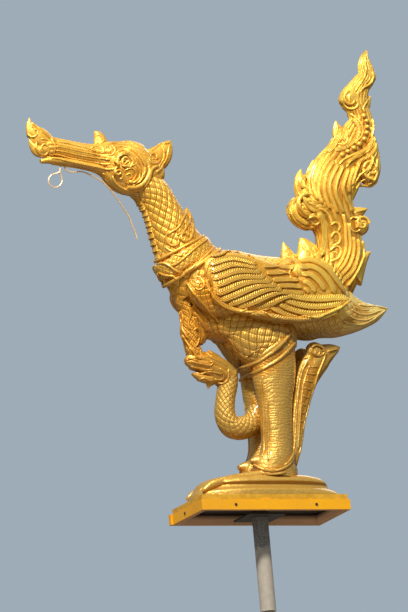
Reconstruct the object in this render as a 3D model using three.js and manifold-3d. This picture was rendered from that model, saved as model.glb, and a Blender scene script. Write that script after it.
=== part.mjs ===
// A gilded swan finial on a framed board at the head of a steel pole.
// Millimetres, +Z up, the swan faces -X, origin at the centre of the pole's cut lower end.
import * as THREE from 'three';
import { mergeVertices } from 'three/addons/utils/BufferGeometryUtils.js';
import Module from 'manifold-3d';

const wasm = await Module();
wasm.setup();

// Driving dimensions
const GAP = 0.3; // between pieces that touch
const POLE_OUTER_R = 30.15;
const POLE_WALL = 3.6;
const FRAME_BOTTOM_Z = 361;
const FRAME_HEIGHT = 40;
const FRAME_LENGTH = 612;
const FRAME_DEPTH = 290;
const FRAME_X = 5; // the board and its frame sit a little towards the tail
const BAR_THICKNESS = 20;
const BACK_BAR_OVERHANG = 8;
const BOARD_THICKNESS = 20;
const BOARD_INSET = 7;
const PLATE_SIZE = 150;
const PLATE_THICKNESS = 6;
const BOLT_R = 6;
const BOLT_HEIGHT = 3.5;
const BOLT_SPREAD = 166; // from the middle of a long bar
const SIDE_BOLT_Y = 12;
const WIRE_R = 2.9;
const BESIDE_STEM = 6.4; // sideways place of the wire's end beside its stem
const LEG_Y = 55; // legs, feet and spurs stand this far either side of the middle
const WING_Y = 116; // middle of a folded wing
const CHEEK_Y = 60;

const FRAME_TOP_Z = FRAME_BOTTOM_Z + FRAME_HEIGHT;
const BOARD_TOP_Z = FRAME_TOP_Z + GAP + BOARD_THICKNESS;
const SWAN_BOTTOM_Z = BOARD_TOP_Z + GAP;
const NEAR = -1;
const FAR = 1;
const THINNEST = 0.8; // half width of a tip
const FULLER = 1.02; // drawn over the true size, which the flats between few sides fall short of

const gold = new THREE.MeshStandardMaterial({ color: 0xe3ab3a, roughness: 0.38, metalness: 0.85 });
const yellowPaint = new THREE.MeshStandardMaterial({ color: 0xe79c14, roughness: 0.6 });
const bareSteel = new THREE.MeshStandardMaterial({ color: 0x4a4440, roughness: 0.55, metalness: 0.8 });
const creamPaint = new THREE.MeshStandardMaterial({ color: 0xc5b9a8, roughness: 0.7 });
const wireMetal = new THREE.MeshStandardMaterial({ color: 0xd8bd92, roughness: 0.5, metalness: 0.6 });

// Shape tools

// Smooth values between the rows of a table, each row being one station
function between(rows, steps) {
  const out = [];
  for (let i = 0; i < rows.length - 1; i++) {
    const a = rows[Math.max(i - 1, 0)];
    const b = rows[i];
    const c = rows[i + 1];
    const d = rows[Math.min(i + 2, rows.length - 1)];
    for (let s = 0; s < steps; s++) {
      const t = s / steps;
      out.push(b.map((v, k) => {
        const bend = 2 * a[k] - 5 * v + 4 * c[k] - d[k];
        const turn = 3 * v - a[k] - 3 * c[k] + d[k];
        return v + 0.5 * t * (c[k] - a[k] + t * (bend + t * turn));
      }));
    }
  }
  out.push(rows[rows.length - 1]);
  return out;
}

// Closed skin over rings of equal size, with a fan at each end, or round on itself
function skin(rings, closed = false) {
  const sides = rings[0].length;
  const points = rings.flat();
  const faces = [];
  const loops = closed ? rings.length : rings.length - 1;
  for (let i = 0; i < loops; i++) {
    for (let j = 0; j < sides; j++) {
      const a = i * sides + j;
      const b = i * sides + (j + 1) % sides;
      const c = ((i + 1) % rings.length) * sides + j;
      const d = ((i + 1) % rings.length) * sides + (j + 1) % sides;
      faces.push(a, c, b, b, c, d);
    }
  }
  if (!closed) {
    for (const end of [0, rings.length - 1]) {
      const middle = new THREE.Vector3();
      rings[end].forEach((p) => middle.addScaledVector(p, 1 / sides));
      points.push(middle);
      for (let j = 0; j < sides; j++) {
        const a = end * sides + j;
        const b = end * sides + (j + 1) % sides;
        faces.push(points.length - 1, ...(end === 0 ? [a, b] : [b, a]));
      }
    }
  }
  const geometry = new THREE.BufferGeometry().setFromPoints(points);
  geometry.setIndex(faces);
  return geometry;
}

// A closed mesh as a solid that can be joined and cut
function solid(geometry) {
  const bare = geometry.clone();
  bare.deleteAttribute('normal');
  bare.deleteAttribute('uv');
  const merged = mergeVertices(bare, 1e-4);
  const made = new wasm.Manifold(new wasm.Mesh({
    numProp: 3,
    vertProperties: new Float32Array(merged.attributes.position.array),
    triVerts: new Uint32Array(merged.index.array),
  }));
  return made.volume() < 0 ? flipped(merged) : made;
}

function flipped(merged) {
  const turned = [...merged.index.array];
  for (let i = 0; i < turned.length; i += 3) {
    [turned[i], turned[i + 1]] = [turned[i + 1], turned[i]];
  }
  return new wasm.Manifold(new wasm.Mesh({
    numProp: 3,
    vertProperties: new Float32Array(merged.attributes.position.array),
    triVerts: new Uint32Array(turned),
  }));
}

// A limb along a middle line that lies in XZ, moved sideways by y.
// Rows are [x, z, half depth in XZ, half width across, own sideways place].
// carve gives each point of a ring its share of the full size.
function limb(rows, { steps = 1, sides = 10, y = 0, carve = () => 1 } = {}) {
  const line = between(rows, steps);
  const rings = line.map(([x, z, depth, width, aside = 0], i) => {
    const before = line[Math.max(i - 1, 0)];
    const after = line[Math.min(i + 1, line.length - 1)];
    const along = new THREE.Vector2(after[0] - before[0], after[1] - before[1]).normalize();
    return Array.from({ length: sides }, (_, j) => {
      const turn = (j / sides) * 2 * Math.PI;
      const share = FULLER * carve(i, j);
      const out = Math.cos(turn) * Math.max(depth, THINNEST) * share;
      const across = Math.sin(turn) * Math.max(width, THINNEST) * share;
      return new THREE.Vector3(x - along.y * out, y + aside + across, z + along.x * out);
    });
  });
  return solid(skin(rings));
}

// Carving made by every second point: long flutes, or a net of lozenges
const flutes = (deep) => (i, j) => 1 - deep * (j % 2);
const lozenges = (deep) => (i, j) => 1 - deep * ((i + j) % 2);

// A flame or leaf is a limb with few sides that runs out to a point
const flame = (rows, options = {}) => limb(rows, { sides: 5, ...options });

// A ring round a limb: an ellipse in a plane that leans in XZ by a slope angle
function ring({ x, z, slope, depth, width, thick, tall = thick, around = 12 }) {
  const lean = THREE.MathUtils.degToRad(slope);
  const sides = 6;
  const rings = Array.from({ length: around }, (_, i) => {
    const at = (i / around) * 2 * Math.PI;
    return Array.from({ length: sides }, (_, j) => {
      const turn = (j / sides) * 2 * Math.PI;
      const reach = Math.cos(turn) * thick;
      const rise = Math.sin(turn) * tall;
      const out = Math.cos(at) * (depth + reach);
      return new THREE.Vector3(
        x + out * Math.cos(lean) - rise * Math.sin(lean),
        Math.sin(at) * (width + reach),
        z + out * Math.sin(lean) + rise * Math.cos(lean),
      );
    });
  });
  return solid(skin(rings, true));
}

// A low round boss on the side of a form, facing across
function boss({ x, z, y, r, thick, sides = 8 }) {
  const dome = new THREE.SphereGeometry(r, sides, 4);
  dome.rotateX(Math.PI / 2);
  dome.scale(1, thick / r, 1);
  dome.translate(x, y, z);
  return solid(dome);
}

// A ring that lies on the side of a form, facing across
function hoop({ x, z, y, r, thick, around = 12 }) {
  const torus = new THREE.TorusGeometry(r, thick, 3, around);
  torus.rotateX(Math.PI / 2);
  torus.translate(x, y, z);
  return solid(torus);
}

// A round wire along a smooth line
function wire(points, radius, steps, sides = 6) {
  const circle = new THREE.Shape();
  circle.absarc(0, 0, radius, 0, 2 * Math.PI);
  const line = new THREE.CatmullRomCurve3(points, false, 'centripetal');
  return new THREE.ExtrudeGeometry(circle, { steps, curveSegments: sides / 2, extrudePath: line });
}

const mix = (a, b, t) => a + (b - a) * t;
const join = (solids) => solids.reduce((all, one) => all.add(one));
const both = (make) => [make(NEAR), make(FAR)];

// Head and beak
const head = [
  limb([ // upper beak, brow and skull
    [-776, 1766, 12, 8], [-742, 1784, 38, 22], [-700, 1782, 36, 26], [-600, 1760, 39, 31],
    [-545, 1752, 43, 36], [-500, 1744, 64, 48], [-450, 1718, 95, 62], [-400, 1704, 101, 68],
    [-350, 1696, 90, 62], [-308, 1704, 68, 46], [-275, 1725, 14, 12],
  ]),
  limb([ // lower beak and throat
    [-770, 1729, 8, 9], [-735, 1733, 13, 17], [-690, 1728, 16, 22], [-610, 1712, 18, 28],
    [-535, 1693, 24, 36], [-490, 1668, 34, 44], [-445, 1650, 53, 52], [-400, 1648, 59, 54],
    [-350, 1660, 50, 50],
  ], { sides: 6 }),
  flame([ // flame at the end of the beak
    [-735, 1792, 36, 20], [-765, 1818, 40, 20], [-790, 1845, 29, 15], [-801, 1870, 14, 9],
    [-800, 1896, 1, 1],
  ]),
  flame([[-745, 1775, 26, 20], [-775, 1772, 26, 19], [-799, 1794, 13, 10], [-809, 1814, 2, 2]]),
  flame([ // forehead
    [-516, 1775, 34, 20], [-516, 1803, 27, 16], [-521, 1822, 22, 12], [-530, 1836, 13, 9],
    [-538, 1844, 1, 2],
  ]),
  flame([ // back of the head
    [-335, 1722, 52, 30], [-298, 1732, 48, 24], [-268, 1754, 41, 18], [-247, 1779, 29, 13],
    [-235, 1796, 16, 8], [-226, 1809, 1, 1],
  ]),
  ...both((side) => hoop({ x: -431, z: 1688, y: side * (CHEEK_Y - 4), r: 76, thick: 9 })),
  ...both((side) => boss({ x: -438, z: 1702, y: side * (CHEEK_Y - 2), r: 40, thick: 14 })),
];

// Neck, with a ladder of plates down its front and a flame on its nape
const NECK = [
  [-372, 1655, 68, 56], [-322, 1602, 69, 60], [-300, 1560, 71, 62], [-281, 1515, 77, 66],
  [-257, 1450, 89, 75], [-229, 1388, 103, 87], [-194, 1330, 120, 102], [-150, 1275, 140, 112],
];
const PLATES = 9;
function throatPlates() {
  const line = between(NECK, 12);
  const first = 10;
  const last = 66;
  return Array.from({ length: PLATES }, (_, i) => {
    const at = Math.round(mix(first, last, i / (PLATES - 1)));
    const [x, z, depth] = line[at];
    const [x2, z2] = line[at + 1];
    const along = new THREE.Vector2(x2 - x, z2 - z).normalize();
    const plate = new THREE.BoxGeometry(22, 44, 19);
    plate.rotateY(Math.atan2(-along.x, -along.y) + 0.22);
    plate.translate(x + along.y * (depth - 6), 0, z - along.x * (depth - 6));
    return solid(plate);
  });
}
const neck = [
  limb(NECK, { sides: 12, carve: lozenges(0.035) }),
  ...throatPlates(),
  flame([
    [-216, 1395, 34, 34], [-205, 1450, 42, 36], [-194, 1500, 32, 27], [-188, 1528, 17, 15],
    [-184, 1552, 1, 1],
  ], { sides: 6 }),
  ring({ x: -222, z: 1372, slope: 25, depth: 114, width: 90, thick: 9, tall: 13 }),
  ring({ x: -196, z: 1330, slope: 31, depth: 128, width: 106, thick: 18, tall: 22 }),
];

// Body, its back flames and the leaf under the tail
const body = [
  limb([
    [-238, 1232, 34, 34], [-212, 1240, 92, 76], [-140, 1248, 130, 112], [-50, 1248, 138, 126],
    [60, 1236, 130, 128], [150, 1226, 132, 122], [250, 1197, 154, 108], [335, 1176, 139, 88],
    [400, 1150, 106, 66], [450, 1138, 74, 48], [500, 1136, 50, 36], [550, 1144, 30, 24],
    [607, 1164, 1, 1],
  ], { sides: 10 }),
  limb([[-205, 1182, 60, 52], [-150, 1138, 80, 76], [-80, 1116, 82, 90], [0, 1116, 84, 92]]),
  flame([[216, 1332, 48, 26], [206, 1378, 22, 14], [200, 1418, 1, 1]]),
  flame([[300, 1345, 66, 32], [288, 1392, 36, 20], [271, 1440, 1, 1]]),
];

// Folded wing: a ribbed shoulder shell over a longer ribbed one that runs to the tip
function wing(side) {
  const coverts = limb([
    [-183, 1258, 20, 8], [-164, 1262, 82, 24], [-112, 1252, 110, 38], [-40, 1240, 113, 41],
    [40, 1230, 100, 39], [110, 1216, 76, 33], [162, 1205, 42, 24], [186, 1199, 6, 6],
  ], { y: side * WING_Y, sides: 14, carve: flutes(0.14) });
  const primaries = limb([
    [-60, 1200, 78, 22], [40, 1191, 99, 28], [130, 1178, 95, 27], [220, 1168, 72, 22],
    [310, 1163, 48, 16], [372, 1167, 22, 9], [404, 1174, 2, 2],
  ], { y: side * (WING_Y - 4), sides: 12, carve: flutes(0.14) });
  return coverts.add(primaries);
}

// Curved feathers that sweep round the root of the tail, and the knot in front of them
const SWEEPS = 3;
const TAIL_ROOT = { x: 258, z: 1205, depth: 150, width: 108 };
const SWEEP_START = 112; // degrees above the level
const SWEEP_END = -18;
function tailRoot(side) {
  const sweeps = Array.from({ length: SWEEPS }, (_, i) => {
    const r = mix(64, 128, i / (SWEEPS - 1));
    const rows = [0, 1, 2, 3].map((k) => {
      const at = THREE.MathUtils.degToRad(mix(SWEEP_START, SWEEP_END, k / 3));
      const rise = r * Math.sin(at);
      const along = r * Math.cos(at);
      const rounding = Math.sqrt(1 - (rise / TAIL_ROOT.depth) ** 2);
      const narrowing = 0.16 * along;
      const surface = TAIL_ROOT.width * rounding - narrowing;
      return [TAIL_ROOT.x + along, TAIL_ROOT.z + rise, 15, 14, side * surface];
    });
    return limb(rows, { sides: 4 });
  });
  const knot = boss({ x: 205, z: 1282, y: side * 98, r: 34, thick: 26 });
  return join([...sweeps, knot]);
}

// Tail plume: a rising S with a scroll on each side and flames at its edges
const tail = [
  limb([
    [372, 1190, 70, 44], [396, 1260, 81, 48], [424, 1330, 90, 46], [432, 1400, 93, 44],
    [425, 1460, 92, 44], [405, 1530, 98, 46], [405, 1600, 100, 46], [440, 1670, 102, 42],
    [486, 1735, 88, 37], [542, 1825, 66, 32], [564, 1880, 50, 28], [556, 1925, 48, 25],
    [545, 1965, 60, 26], [572, 2015, 42, 24], [604, 2050, 35, 20], [602, 2095, 29, 16],
    [604, 2128, 15, 10], [616, 2156, 1, 1],
  ], { sides: 10, carve: flutes(0.1) }),
  limb([ // scroll on the left
    [400, 1560, 90, 44], [345, 1545, 86, 48], [295, 1540, 72, 44], [260, 1544, 49, 32],
    [238, 1550, 18, 14],
  ], { sides: 8 }),
  limb([ // scroll on the right
    [583, 1812, 36, 24], [581, 1750, 47, 30], [575, 1695, 51, 32], [573, 1655, 37, 26],
    [567, 1630, 8, 6],
  ], { sides: 6 }),
  limb([ // head of the upper scroll
    [560, 1985, 50, 24], [522, 1970, 41, 28], [498, 1962, 26, 22], [484, 1958, 6, 6],
  ], { sides: 6 }),
  limb([[590, 2068, 36, 20], [618, 2048, 32, 20], [643, 2044, 8, 8]], { sides: 6 }),
  flame([[322, 1590, 60, 34], [296, 1640, 31, 22], [292, 1672, 15, 12], [300, 1698, 1, 1]]),
  flame([[500, 1780, 52, 28], [472, 1832, 30, 18], [463, 1862, 14, 9], [462, 1884, 1, 1]]),
  flame([[565, 1915, 34, 20], [592, 1948, 20, 13], [616, 1978, 1, 1]]),
  flame([[462, 1500, 36, 30], [512, 1526, 26, 18], [560, 1546, 1, 1]]),
  flame([[460, 1290, 60, 34], [505, 1340, 32, 22], [534, 1366, 16, 12], [558, 1380, 1, 1]]),
  boss({ x: 516, z: 1480, y: 0, r: 40, thick: 40 }),
];

// Legs with scaled thighs, double garters, ribbed shanks, feet and spurs behind
function leg(side) {
  const y = side * LEG_Y;
  return join([
    limb([ // thigh
      [-14, 1165, 150, 92], [22, 1106, 138, 88], [40, 1062, 123, 80], [65, 1026, 121, 73],
      [83, 994, 117, 66], [98, 965, 99, 60],
    ], { y: y * 0.8, sides: 12, carve: lozenges(0.04) }),
    limb([ // shank
      [90, 1000, 90, 56], [87, 930, 88, 56], [83, 865, 82, 55], [79, 790, 68, 54],
      [73, 650, 60, 54], [66, 585, 68, 56], [60, 548, 92, 58], [58, 500, 98, 60],
    ], { y, sides: 12, carve: flutes(0.05) }),
    limb([[30, 558, 22, 30], [-14, 564, 24, 26], [-44, 566, 8, 12]], { y, sides: 6 }),
    flame([ // spur
      [118, 535, 20, 15], [141, 600, 22, 15], [157, 680, 27, 15], [181, 777, 32, 16],
      [213, 862, 39, 17], [245, 922, 47, 19], [284, 964, 45, 19], [324, 986, 29, 14],
      [352, 996, 15, 8], [369, 1003, 1, 1],
    ], { y, sides: 6 }),
    boss({ x: 262, z: 984, y, r: 38, thick: 24, sides: 8 }),
  ]);
}
function garter(x, z, depth) {
  return ring({ x, z, slope: 33, depth, width: depth * 0.95, thick: 8, tall: 9 });
}
const garters = [garter(82, 994, 117), garter(98, 967, 105)];

// Chest tassel that hangs into the serpent's head, and the serpent's looped neck
const serpent = [
  limb([ // tassel
    [-262, 1228, 22, 28], [-241, 1190, 34, 38], [-227, 1152, 32, 38], [-222, 1110, 36, 36],
    [-219, 1066, 42, 34], [-219, 1030, 31, 27], [-213, 998, 33, 28], [-196, 972, 30, 28],
  ], { carve: flutes(0.08) }),
  limb([ // web between the tassel and the breast
    [-200, 1160, 45, 40], [-180, 1105, 52, 40], [-176, 1066, 34, 32], [-186, 1026, 12, 14],
  ], { sides: 8 }),
  limb([ // skull and snout
    [-66, 896, 36, 34], [-105, 922, 47, 38], [-150, 944, 48, 37], [-190, 960, 40, 32],
    [-225, 962, 31, 25], [-248, 960, 12, 12],
  ]),
  limb([[-100, 900, 24, 26], [-150, 892, 18, 22], [-190, 898, 16, 18], [-226, 914, 5, 8]], {
    sides: 8,
  }),
  flame([[-140, 890, 16, 14], [-158, 876, 13, 11], [-166, 855, 1, 1]]),
  flame([[-100, 946, 22, 18], [-128, 978, 16, 12], [-152, 1006, 1, 1]]),
  limb([ // looped neck
    [-72, 915, 34, 34], [-82, 870, 37, 36], [-98, 815, 37, 36], [-105, 755, 40, 38],
    [-84, 712, 44, 38], [-38, 705, 44, 38], [6, 728, 42, 38], [34, 780, 34, 34],
  ], { sides: 8 }),
];

// Mound under the feet: an oblong dome in two tiers, with toes running forward
function mound() {
  const levels = [ // height above the board and share of the full size
    [0, 1], [22, 1], [44, 0.92], [54, 0.86], [64, 0.84], [82, 0.74], [94, 0.52], [97, 0.2],
  ];
  const sides = 18;
  const rings = levels.map(([up, share]) => Array.from({ length: sides }, (_, j) => {
    const turn = (j / sides) * 2 * Math.PI;
    const c = Math.cos(turn);
    const s = Math.sin(turn);
    return new THREE.Vector3(
      8 + 0.12 * up + 288 * share * Math.sign(c) * Math.abs(c) ** 0.8,
      130 * share * Math.sign(s) * Math.abs(s) ** 0.8,
      SWAN_BOTTOM_Z + up,
    );
  }));
  return solid(skin(rings));
}
function toes(side) {
  return join([-20, 20].map((spread) => limb([
    [-20, 506, 20, 18], [-90, 500, 18, 16], [-165, 490, 17, 15], [-225, 474, 13, 11],
    [-248, 460, 4, 4],
  ], { y: side * LEG_Y + spread, sides: 5 })));
}

// Wire through the lower beak: an eye at one end, a long curved free end.
// Points are [x, z, own sideways place]. The eye closes on its own stem, side by side.
const route = [
  [-697, 1687, BESIDE_STEM], [-711, 1682, 3], [-730, 1677, 1], [-742, 1663, 0], [-745, 1648, 0],
  [-738, 1635, 0], [-722, 1628, 0], [-706, 1632, 0], [-692, 1644, 0], [-688, 1659, 0],
  [-691, 1675, 0], [-694, 1688, 0], [-692, 1703, 0], [-687, 1719, 0], [-679, 1725, 0],
  [-674, 1713, 0], [-670, 1698, 0], [-657, 1689, 0], [-636, 1687, 0], [-611, 1690, 0],
  [-587, 1684, 0], [-563, 1673, 0], [-540, 1661, 0], [-517, 1646, 0], [-494, 1621, 0],
  [-476, 1596, 0], [-462, 1575, 0], [-444, 1546, 0], [-426, 1515, 0], [-415, 1480, 0],
  [-406, 1454, 0], [-400, 1429, 0],
].map(([x, z, aside]) => new THREE.Vector3(x, -aside, z));
const WIRE_STEPS = 54;
const hook = wire(route, WIRE_R, WIRE_STEPS);
const drilling = solid(wire(route, WIRE_R + 2 * GAP, WIRE_STEPS));

function swanGeometry() {
  const parts = [
    ...head,
    ...neck,
    ...body,
    ...both(wing),
    ...both(tailRoot),
    ...tail,
    ...both(leg),
    ...garters,
    ...serpent,
    mound(),
    ...both(toes),
  ];
  const whole = join(parts).subtract(drilling);
  const floor = new THREE.BoxGeometry(2000, 800, 200);
  floor.translate(0, 0, SWAN_BOTTOM_Z - 100);
  return geometryOf(whole.subtract(solid(floor)));
}

function geometryOf(made) {
  const mesh = made.getMesh();
  const geometry = new THREE.BufferGeometry();
  geometry.setAttribute('position', new THREE.BufferAttribute(mesh.vertProperties, 3));
  geometry.setIndex(new THREE.BufferAttribute(mesh.triVerts, 1));
  geometry.computeVertexNormals();
  return geometry;
}

// Board, frame, bolts and pole
function bar(length, depth, height) {
  return new THREE.BoxGeometry(length, depth, height);
}
function poleGeometry() {
  const inner = POLE_OUTER_R - POLE_WALL;
  const top = FRAME_TOP_Z;
  const profile = [[inner, 0], [POLE_OUTER_R, 0], [POLE_OUTER_R, top], [inner, top], [inner, 0]];
  const lathe = new THREE.LatheGeometry(profile.map(([r, z]) => new THREE.Vector2(r, z)), 24);
  lathe.rotateX(Math.PI / 2);
  return lathe;
}
function plateGeometry() {
  const square = new THREE.Shape();
  const half = PLATE_SIZE / 2;
  square.moveTo(-half, -half);
  square.lineTo(half, -half);
  square.lineTo(half, half);
  square.lineTo(-half, half);
  const hole = new THREE.Path();
  hole.absarc(0, 0, POLE_OUTER_R + GAP, 0, 2 * Math.PI);
  square.holes.push(hole);
  return new THREE.ExtrudeGeometry(square, {
    depth: PLATE_THICKNESS,
    bevelEnabled: false,
    curveSegments: 24,
  });
}
function boltGeometry() {
  const dome = [[0, 0], [BOLT_R, 0], [BOLT_R * 0.85, BOLT_HEIGHT * 0.7], [0, BOLT_HEIGHT]];
  return new THREE.LatheGeometry(dome.map(([r, z]) => new THREE.Vector2(r, z)), 8);
}

const group = new THREE.Group();
function put(name, geometry, material, at = [0, 0, 0], turn = [0, 0, 0]) {
  const mesh = new THREE.Mesh(geometry, material);
  mesh.name = name;
  mesh.position.set(...at);
  mesh.rotation.set(...turn);
  group.add(mesh);
}

put('swan', swanGeometry(), gold);
put('bell_hook', hook, wireMetal);
put('board', bar(FRAME_LENGTH - 2 * BOARD_INSET, FRAME_DEPTH - 2 * BOARD_INSET, BOARD_THICKNESS),
  yellowPaint, [FRAME_X, 0, FRAME_TOP_Z + GAP + BOARD_THICKNESS / 2]);

const barZ = FRAME_BOTTOM_Z + FRAME_HEIGHT / 2;
const longBarY = (FRAME_DEPTH - BAR_THICKNESS) / 2;
const shortBarLength = FRAME_DEPTH - 2 * BAR_THICKNESS - 2 * GAP;
const shortBarX = (FRAME_LENGTH - BAR_THICKNESS) / 2;
put('frame_front', bar(FRAME_LENGTH, BAR_THICKNESS, FRAME_HEIGHT), yellowPaint,
  [FRAME_X, -longBarY, barZ]);
put('frame_back', bar(FRAME_LENGTH + BACK_BAR_OVERHANG, BAR_THICKNESS, FRAME_HEIGHT), yellowPaint,
  [FRAME_X - BACK_BAR_OVERHANG / 2, longBarY, barZ]);
put('frame_left', bar(BAR_THICKNESS, shortBarLength, FRAME_HEIGHT), yellowPaint,
  [FRAME_X - shortBarX, 0, barZ]);
put('frame_right', bar(BAR_THICKNESS, shortBarLength, FRAME_HEIGHT), yellowPaint,
  [FRAME_X + shortBarX, 0, barZ]);

const faceY = FRAME_DEPTH / 2 + GAP;
const faceX = FRAME_LENGTH / 2 + GAP;
for (const [end, sign] of [['left', -1], ['right', 1]]) {
  put(`bolt_front_${end}`, boltGeometry(), bareSteel, [FRAME_X + sign * BOLT_SPREAD, -faceY, barZ],
    [Math.PI, 0, 0]);
  put(`bolt_back_${end}`, boltGeometry(), bareSteel, [FRAME_X + sign * BOLT_SPREAD, faceY, barZ]);
  put(`bolt_${end}`, boltGeometry(), bareSteel, [FRAME_X + sign * faceX, SIDE_BOLT_Y, barZ],
    [0, 0, -sign * Math.PI / 2]);
}

put('pole', poleGeometry(), creamPaint);
put('pole_plate', plateGeometry(), bareSteel, [0, 0, FRAME_BOTTOM_Z - 2]);

export default group;
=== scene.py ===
import math

import bmesh
import bpy
import numpy as np
from mathutils import Matrix, Vector
from mathutils.bvhtree import BVHTree


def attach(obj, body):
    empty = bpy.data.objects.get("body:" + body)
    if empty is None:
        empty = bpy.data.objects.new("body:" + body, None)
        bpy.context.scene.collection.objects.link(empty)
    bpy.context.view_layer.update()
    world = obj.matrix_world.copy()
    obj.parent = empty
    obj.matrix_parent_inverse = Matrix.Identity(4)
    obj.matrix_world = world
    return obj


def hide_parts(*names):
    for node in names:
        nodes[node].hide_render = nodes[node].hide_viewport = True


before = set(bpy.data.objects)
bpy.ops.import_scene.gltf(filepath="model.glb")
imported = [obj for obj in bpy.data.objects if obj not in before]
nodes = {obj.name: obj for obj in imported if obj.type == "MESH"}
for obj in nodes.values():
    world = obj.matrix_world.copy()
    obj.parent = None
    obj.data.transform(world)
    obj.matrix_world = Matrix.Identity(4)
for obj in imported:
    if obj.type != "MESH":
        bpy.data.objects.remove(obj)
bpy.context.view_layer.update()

# The swan faces -X and its left side faces -Y. Its forms are given in millimetres, as rows of
# stations down a middle line: x, z, half depth in XZ and half width across.
MM = 0.001
NEAR = -1
FAR = 1
GRAIN = 5.2  # edge length of the swan's mesh
TRIANGLES = 192000  # the most that the swan's mesh keeps
SMOOTH_ANGLE = math.radians(50)
LEG_Y = 55
WING_Y = 116
CHEEK_Y = 60
MOUND_BOTTOM = 421.6
BEAD_PROUD = 3  # how far a bead's middle stands off the skin

# Camera, as the photograph's: parallel, as through a long lens, from the front left and from
# below, a little rolled
PIXEL_MM = 3.75
IMAGE_SIZE = (408, 612)
AZIMUTH = math.radians(-25.0)
LOOKING_UP = math.radians(11.0)
ROLL = math.radians(5.2)
POLE_HEAD_PIXEL = (260.0, 519.2)
POLE_HEAD = Vector((0, 0, 0.355))
CAMERA_DISTANCE = 5.0
FARTHEST_SEEN = 200.0
MISS_PIXELS = 9  # how far a carved line's point may lie off the outline

# Places on the board and the pole, in metres. Under the board is a hollow of bare wood, painted paler as
# light from below and near black towards the board as painted shade.
RECESS_X = 0.005
RECESS_HALF_LENGTH = 0.2868
RECESS_HALF_DEPTH = 0.1258
RECESS_TOP = 0.4018
RECESS_SHADE = (0.378, 0.398)  # painted shade: the wood turns near black between these heights
BOARD_BOTTOM = 0.4013
BAR_DIRT = (0.3611, 0.3625)  # the dirt on the bars' lower faces ends between these heights
WORN_PAINT = (0.236, 0.250)  # the pole's cream paint ends between these heights


def view_axes():
    """The photograph's directions to the right, up and back to the camera."""
    across = Vector((math.cos(AZIMUTH), math.sin(AZIMUTH), 0))
    lift = math.sin(LOOKING_UP)
    rising = Vector((math.sin(AZIMUTH) * lift, -math.cos(AZIMUTH) * lift, math.cos(LOOKING_UP)))
    right = across * math.cos(ROLL) - rising * math.sin(ROLL)
    up = across * math.sin(ROLL) + rising * math.cos(ROLL)
    return right, up, across.cross(rising)


def behind_pixel(x, y):
    """The place at the pole head's depth that a pixel of the photograph shows."""
    right, up, _ = view_axes()
    to_right = (x - POLE_HEAD_PIXEL[0]) * PIXEL_MM * MM
    to_top = (POLE_HEAD_PIXEL[1] - y) * PIXEL_MM * MM
    return POLE_HEAD + right * to_right + up * to_top


def add_camera():
    """A camera that takes the photograph's picture."""
    middle = behind_pixel(IMAGE_SIZE[0] / 2, IMAGE_SIZE[1] / 2)
    right, up, back = view_axes()
    turn = Matrix((right, up, back)).transposed().to_4x4()
    data = bpy.data.cameras.new("photo_camera")
    data.type = "ORTHO"
    data.ortho_scale = IMAGE_SIZE[1] * PIXEL_MM * MM
    data.clip_end = FARTHEST_SEEN
    camera = bpy.data.objects.new("photo_camera", data)
    camera.matrix_world = Matrix.Translation(middle + back * CAMERA_DISTANCE) @ turn
    bpy.context.scene.collection.objects.link(camera)
    bpy.context.scene.camera = camera


# Shape tools
FEWEST_STEPS = 5
FEWEST_RIDGE_STEPS = 4


def mix(a, b, t):
    return a + (b - a) * t


def rounded(wave, power):
    """A sine or cosine made squarer, by a power under 1, or more pointed."""
    return np.sign(wave) * np.abs(wave) ** power


def between(rows, steps):
    """Smooth values between the rows, each row being one station."""
    table = np.array(rows, float)
    a = np.vstack([table[:1], table[:-2]])
    b = table[:-1]
    c = table[1:]
    d = np.vstack([table[2:], table[-1:]])
    out = []
    for i in range(len(b)):
        t = (np.arange(steps) / steps)[:, None]
        bend = 2 * a[i] - 5 * b[i] + 4 * c[i] - d[i]
        turn = 3 * b[i] - a[i] - 3 * c[i] + d[i]
        out.append(b[i] + 0.5 * t * (c[i] - a[i] + t * (bend + t * turn)))
    return np.vstack(out + [table[-1:]])


def even(line, grain):
    """The same line with its stations an even distance apart."""
    step = np.hypot(np.diff(line[:, 0]), np.diff(line[:, 1]))
    run = np.concatenate([[0], np.cumsum(step)])
    count = max(int(run[-1] / grain), FEWEST_STEPS)
    at = np.linspace(0, run[-1], count + 1)
    return np.stack([np.interp(at, run, line[:, k]) for k in range(line.shape[1])], 1), at


def skin(rings, closed=False):
    """Vertices and faces of a closed skin over rings of equal size."""
    count, sides = rings.shape[:2]
    points = rings.reshape(-1, 3)
    loops = count if closed else count - 1
    i, j = np.meshgrid(np.arange(loops), np.arange(sides), indexing="ij")
    a = i * sides + j
    b = i * sides + (j + 1) % sides
    c = ((i + 1) % count) * sides + j
    d = ((i + 1) % count) * sides + (j + 1) % sides
    faces = np.stack([a, c, d, b], -1).reshape(-1, 4).tolist()
    if not closed:
        points = np.vstack([points, rings[0].mean(0), rings[-1].mean(0)])
        first = len(points) - 2
        last = (count - 1) * sides
        for j in range(sides):
            faces.append([first, j, (j + 1) % sides])
            faces.append([first + 1, last + (j + 1) % sides, last + j])
    return points, faces


SWAN = []  # the swan's forms, each a closed mesh
THINNEST = 0.6  # least half size of a limb
CARVED_FROM = 14  # half size of a limb from which its carving has its full depth
FEWEST_SIDES = 8
MOST_SIDES = 96
MOST_RING_SIDES = 24

# Fine patterns that the gold's relief draws, by number. The mesh keeps a number as tenths.
PLAIN, SCALES, BARBS, RIBS, GROOVES = range(5)
TENTHS = 10


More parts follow.
